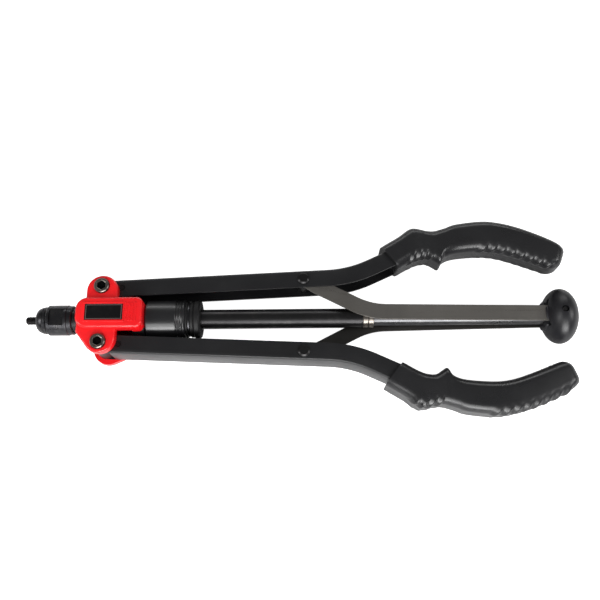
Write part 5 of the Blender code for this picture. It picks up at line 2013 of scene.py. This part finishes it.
@dataclass
class Studio:
    """Camera, lights and light table of a product shot with almost no shadow."""

    distance: float = 0.511
    tilt: float = math.radians(17.02)
    pan: float = math.radians(-0.27)
    roll: float = math.radians(-0.41)
    pixels_per_mm: float = 1.407
    centre: tuple[float, float] = (300.9, 318.6)
    floor_half: float = 3.0
    floor_drop: float = 0.2 * MM
    floor_glow: float = 0.9
    world_strength: float = 0.16
    softboxes: tuple[Softbox, ...] = (
        Softbox("front_softbox", (0.0, -1.35, 0.95), 1.4, 0.9, 21.0),
        Softbox("nose_softbox", (-1.3, -0.35, 0.95), 0.5, 0.8, 8.0),
        Softbox("knob_softbox", (1.3, -0.1, 0.95), 0.5, 0.8, 8.0),
        Softbox("rear_softbox", (0.1, 1.5, 0.75), 1.6, 0.3, 7.0),
        Softbox("low_strip", (0.15, -1.4, 0.5), 1.2, 0.42, 13.0),
    )

    def build(self) -> None:
        """Sets up the whole stage."""
        self._camera()
        self._floor()
        for softbox in self.softboxes:
            softbox.build(Vector((0.0, 0.0, AXIS_HEIGHT)))
        self._world()

    def _camera(self) -> None:
        """Places the camera by its distance, turns and the place of the tool's middle in the frame."""
        data = bpy.data.cameras.new("camera")
        camera = bpy.data.objects.new("camera", data)
        bpy.context.scene.collection.objects.link(camera)
        bpy.context.scene.camera = camera
        data.sensor_width = SENSOR_WIDTH
        data.lens = self.pixels_per_mm * self.distance / MM * SENSOR_WIDTH / PHOTO_SIDE
        data.shift_x = (PHOTO_SIDE / 2 - self.centre[0]) / PHOTO_SIDE
        data.shift_y = (self.centre[1] - PHOTO_SIDE / 2) / PHOTO_SIDE
        tilt = Matrix.Rotation(-self.tilt, 3, "X")
        pan = Matrix.Rotation(self.pan, 3, "Y")
        roll = Matrix.Rotation(-self.roll, 3, "Z")
        turn = (roll @ tilt @ pan).transposed()
        target = Vector((0.0, 0.0, AXIS_HEIGHT))
        place = target + turn @ Vector((0.0, 0.0, self.distance))
        camera.matrix_world = Matrix.Translation(place) @ turn.to_4x4()

    def _floor(self) -> None:
        """Lays the light table just under the tool, with a soft glow that lifts the shadows."""

        def build(shape: bmesh.types.BMesh) -> None:
            """Fills the shape with one flat face."""
            bmesh.ops.create_grid(shape, x_segments=1, y_segments=1, size=self.floor_half)

        floor = mesh_object("studio_floor", build, FLOOR)
        for vertex in floor.data.vertices:
            vertex.co.z = -self.floor_drop
        net = NodeNet(floor.data.materials[0].node_tree)
        shader = net.tree.nodes["Principled BSDF"]
        shader.inputs["Emission Color"].default_value = (1.0, 1.0, 1.0, 1.0)
        seen = net.add("ShaderNodeLightPath").outputs["Is Camera Ray"]
        net.join(net.math("MULTIPLY", seen, self.floor_glow), shader.inputs["Emission Strength"])

    def _world(self) -> None:
        """Fills the dark side with an even dim white, and keeps what the camera sees of it pale."""
        scene = bpy.context.scene
        world = bpy.data.worlds.new("studio_world")
        world.use_nodes = True
        background = world.node_tree.nodes["Background"]
        background.inputs["Color"].default_value = (1.0, 1.0, 1.0, 1.0)
        net = NodeNet(world.node_tree)
        seen = net.add("ShaderNodeLightPath").outputs["Is Camera Ray"]
        net.join(net.math("MAXIMUM", seen, self.world_strength), background.inputs["Strength"])
        scene.world = world
        scene.view_settings.view_transform = "Standard"


DRESSES = {
    "head_casting": Dress(RED_ENAMEL, 0.35 * MM),
    "label_plate": Dress(LABEL_BLACK, 0.15 * MM),
    "pivot_bolt": Dress(BOLT_STEEL),
    "pivot_nut": Dress(BLACKENED_STEEL),
    "pivot_bush": Dress(BEARING_BRONZE),
    "bearing_housing": Dress(BLACK_ENAMEL, 0.2 * MM),
    "thrust_washer": Dress(BEARING_BRONZE),
    "spindle_bush": Dress(BEARING_BRONZE),
    "end_ring": Dress(BOLT_STEEL),
    "rear_flange": Dress(SOFT_BLACK),
    "guide_tube": Dress(BLACKENED_STEEL, 0.1 * MM),
    "tube_": Dress(BOLT_STEEL),
    "lever": Dress(BLACK_ENAMEL, 0.25 * MM),
    "toe_cam": Dress(BLACKENED_STEEL, 0.2 * MM),
    "cam_rivet": Dress(BLACKENED_STEEL),
    # The two links are one steel: the upper gets the copy with painted light, the lower the copy with painted
    # shade.
    "link_upper": Dress(PAINTED_LIT_STEEL, 0.2 * MM),
    "link_lower": Dress(PAINTED_SHADE_STEEL, 0.2 * MM),
    "link_pin": Dress(BLACKENED_STEEL),
    "link_spacer": Dress(BLACKENED_STEEL),
    "grip": Dress(MOULDED_PLASTIC),
    "knob": Dress(KNOB_PLASTIC, 0.2 * MM),
    "knob_pin": Dress(BLACKENED_STEEL, 0.1 * MM),
    "push_rod": Dress(ROD_STEEL, 0.1 * MM),
    "drive_nut": Dress(BEARING_BRONZE),
    "nosepiece": Dress(BLACKENED_STEEL, 0.15 * MM),
    "nose_housing": Dress(BLACKENED_STEEL, 0.2 * MM),
    "nose_sleeve": Dress(BLACKENED_STEEL, 0.15 * MM),
    "thrust_yoke": Dress(BLACKENED_STEEL, 0.2 * MM),
    "yoke_ring_nut": Dress(BLACKENED_STEEL, 0.15 * MM),
    "mandrel": Dress(BLACKENED_STEEL),
    "mandrel_holder": Dress(BLACKENED_STEEL, 0.1 * MM),
    "twisted_spindle": Dress(BRIGHT_STEEL),
}


def main() -> None:
    """Sets up the studio, builds each sub-assembly in order and reports every piece."""
    logging.basicConfig(level=logging.INFO)
    Studio().build()
    for part in (
        CadDressing(DRESSES),
        ThreadedMandrel(),
        LabelPlate(),
        MouldedGrip(1, "upper"),
        MouldedGrip(-1, "lower"),
        TurnedKnob(),
        HeadCasting(),
        HeadTrim(),
        PivotBolt(1, "upper"),
        PivotBolt(-1, "lower"),
        NoseHousing(),
        BluntNosepiece(),
        BarrelTrim(),
    ):
        for item in part.build():
            LOG.info("%s: %s, %d faces", type(part).__name__, item.name, len(item.data.polygons))


if __name__ == "__main__":
    main()
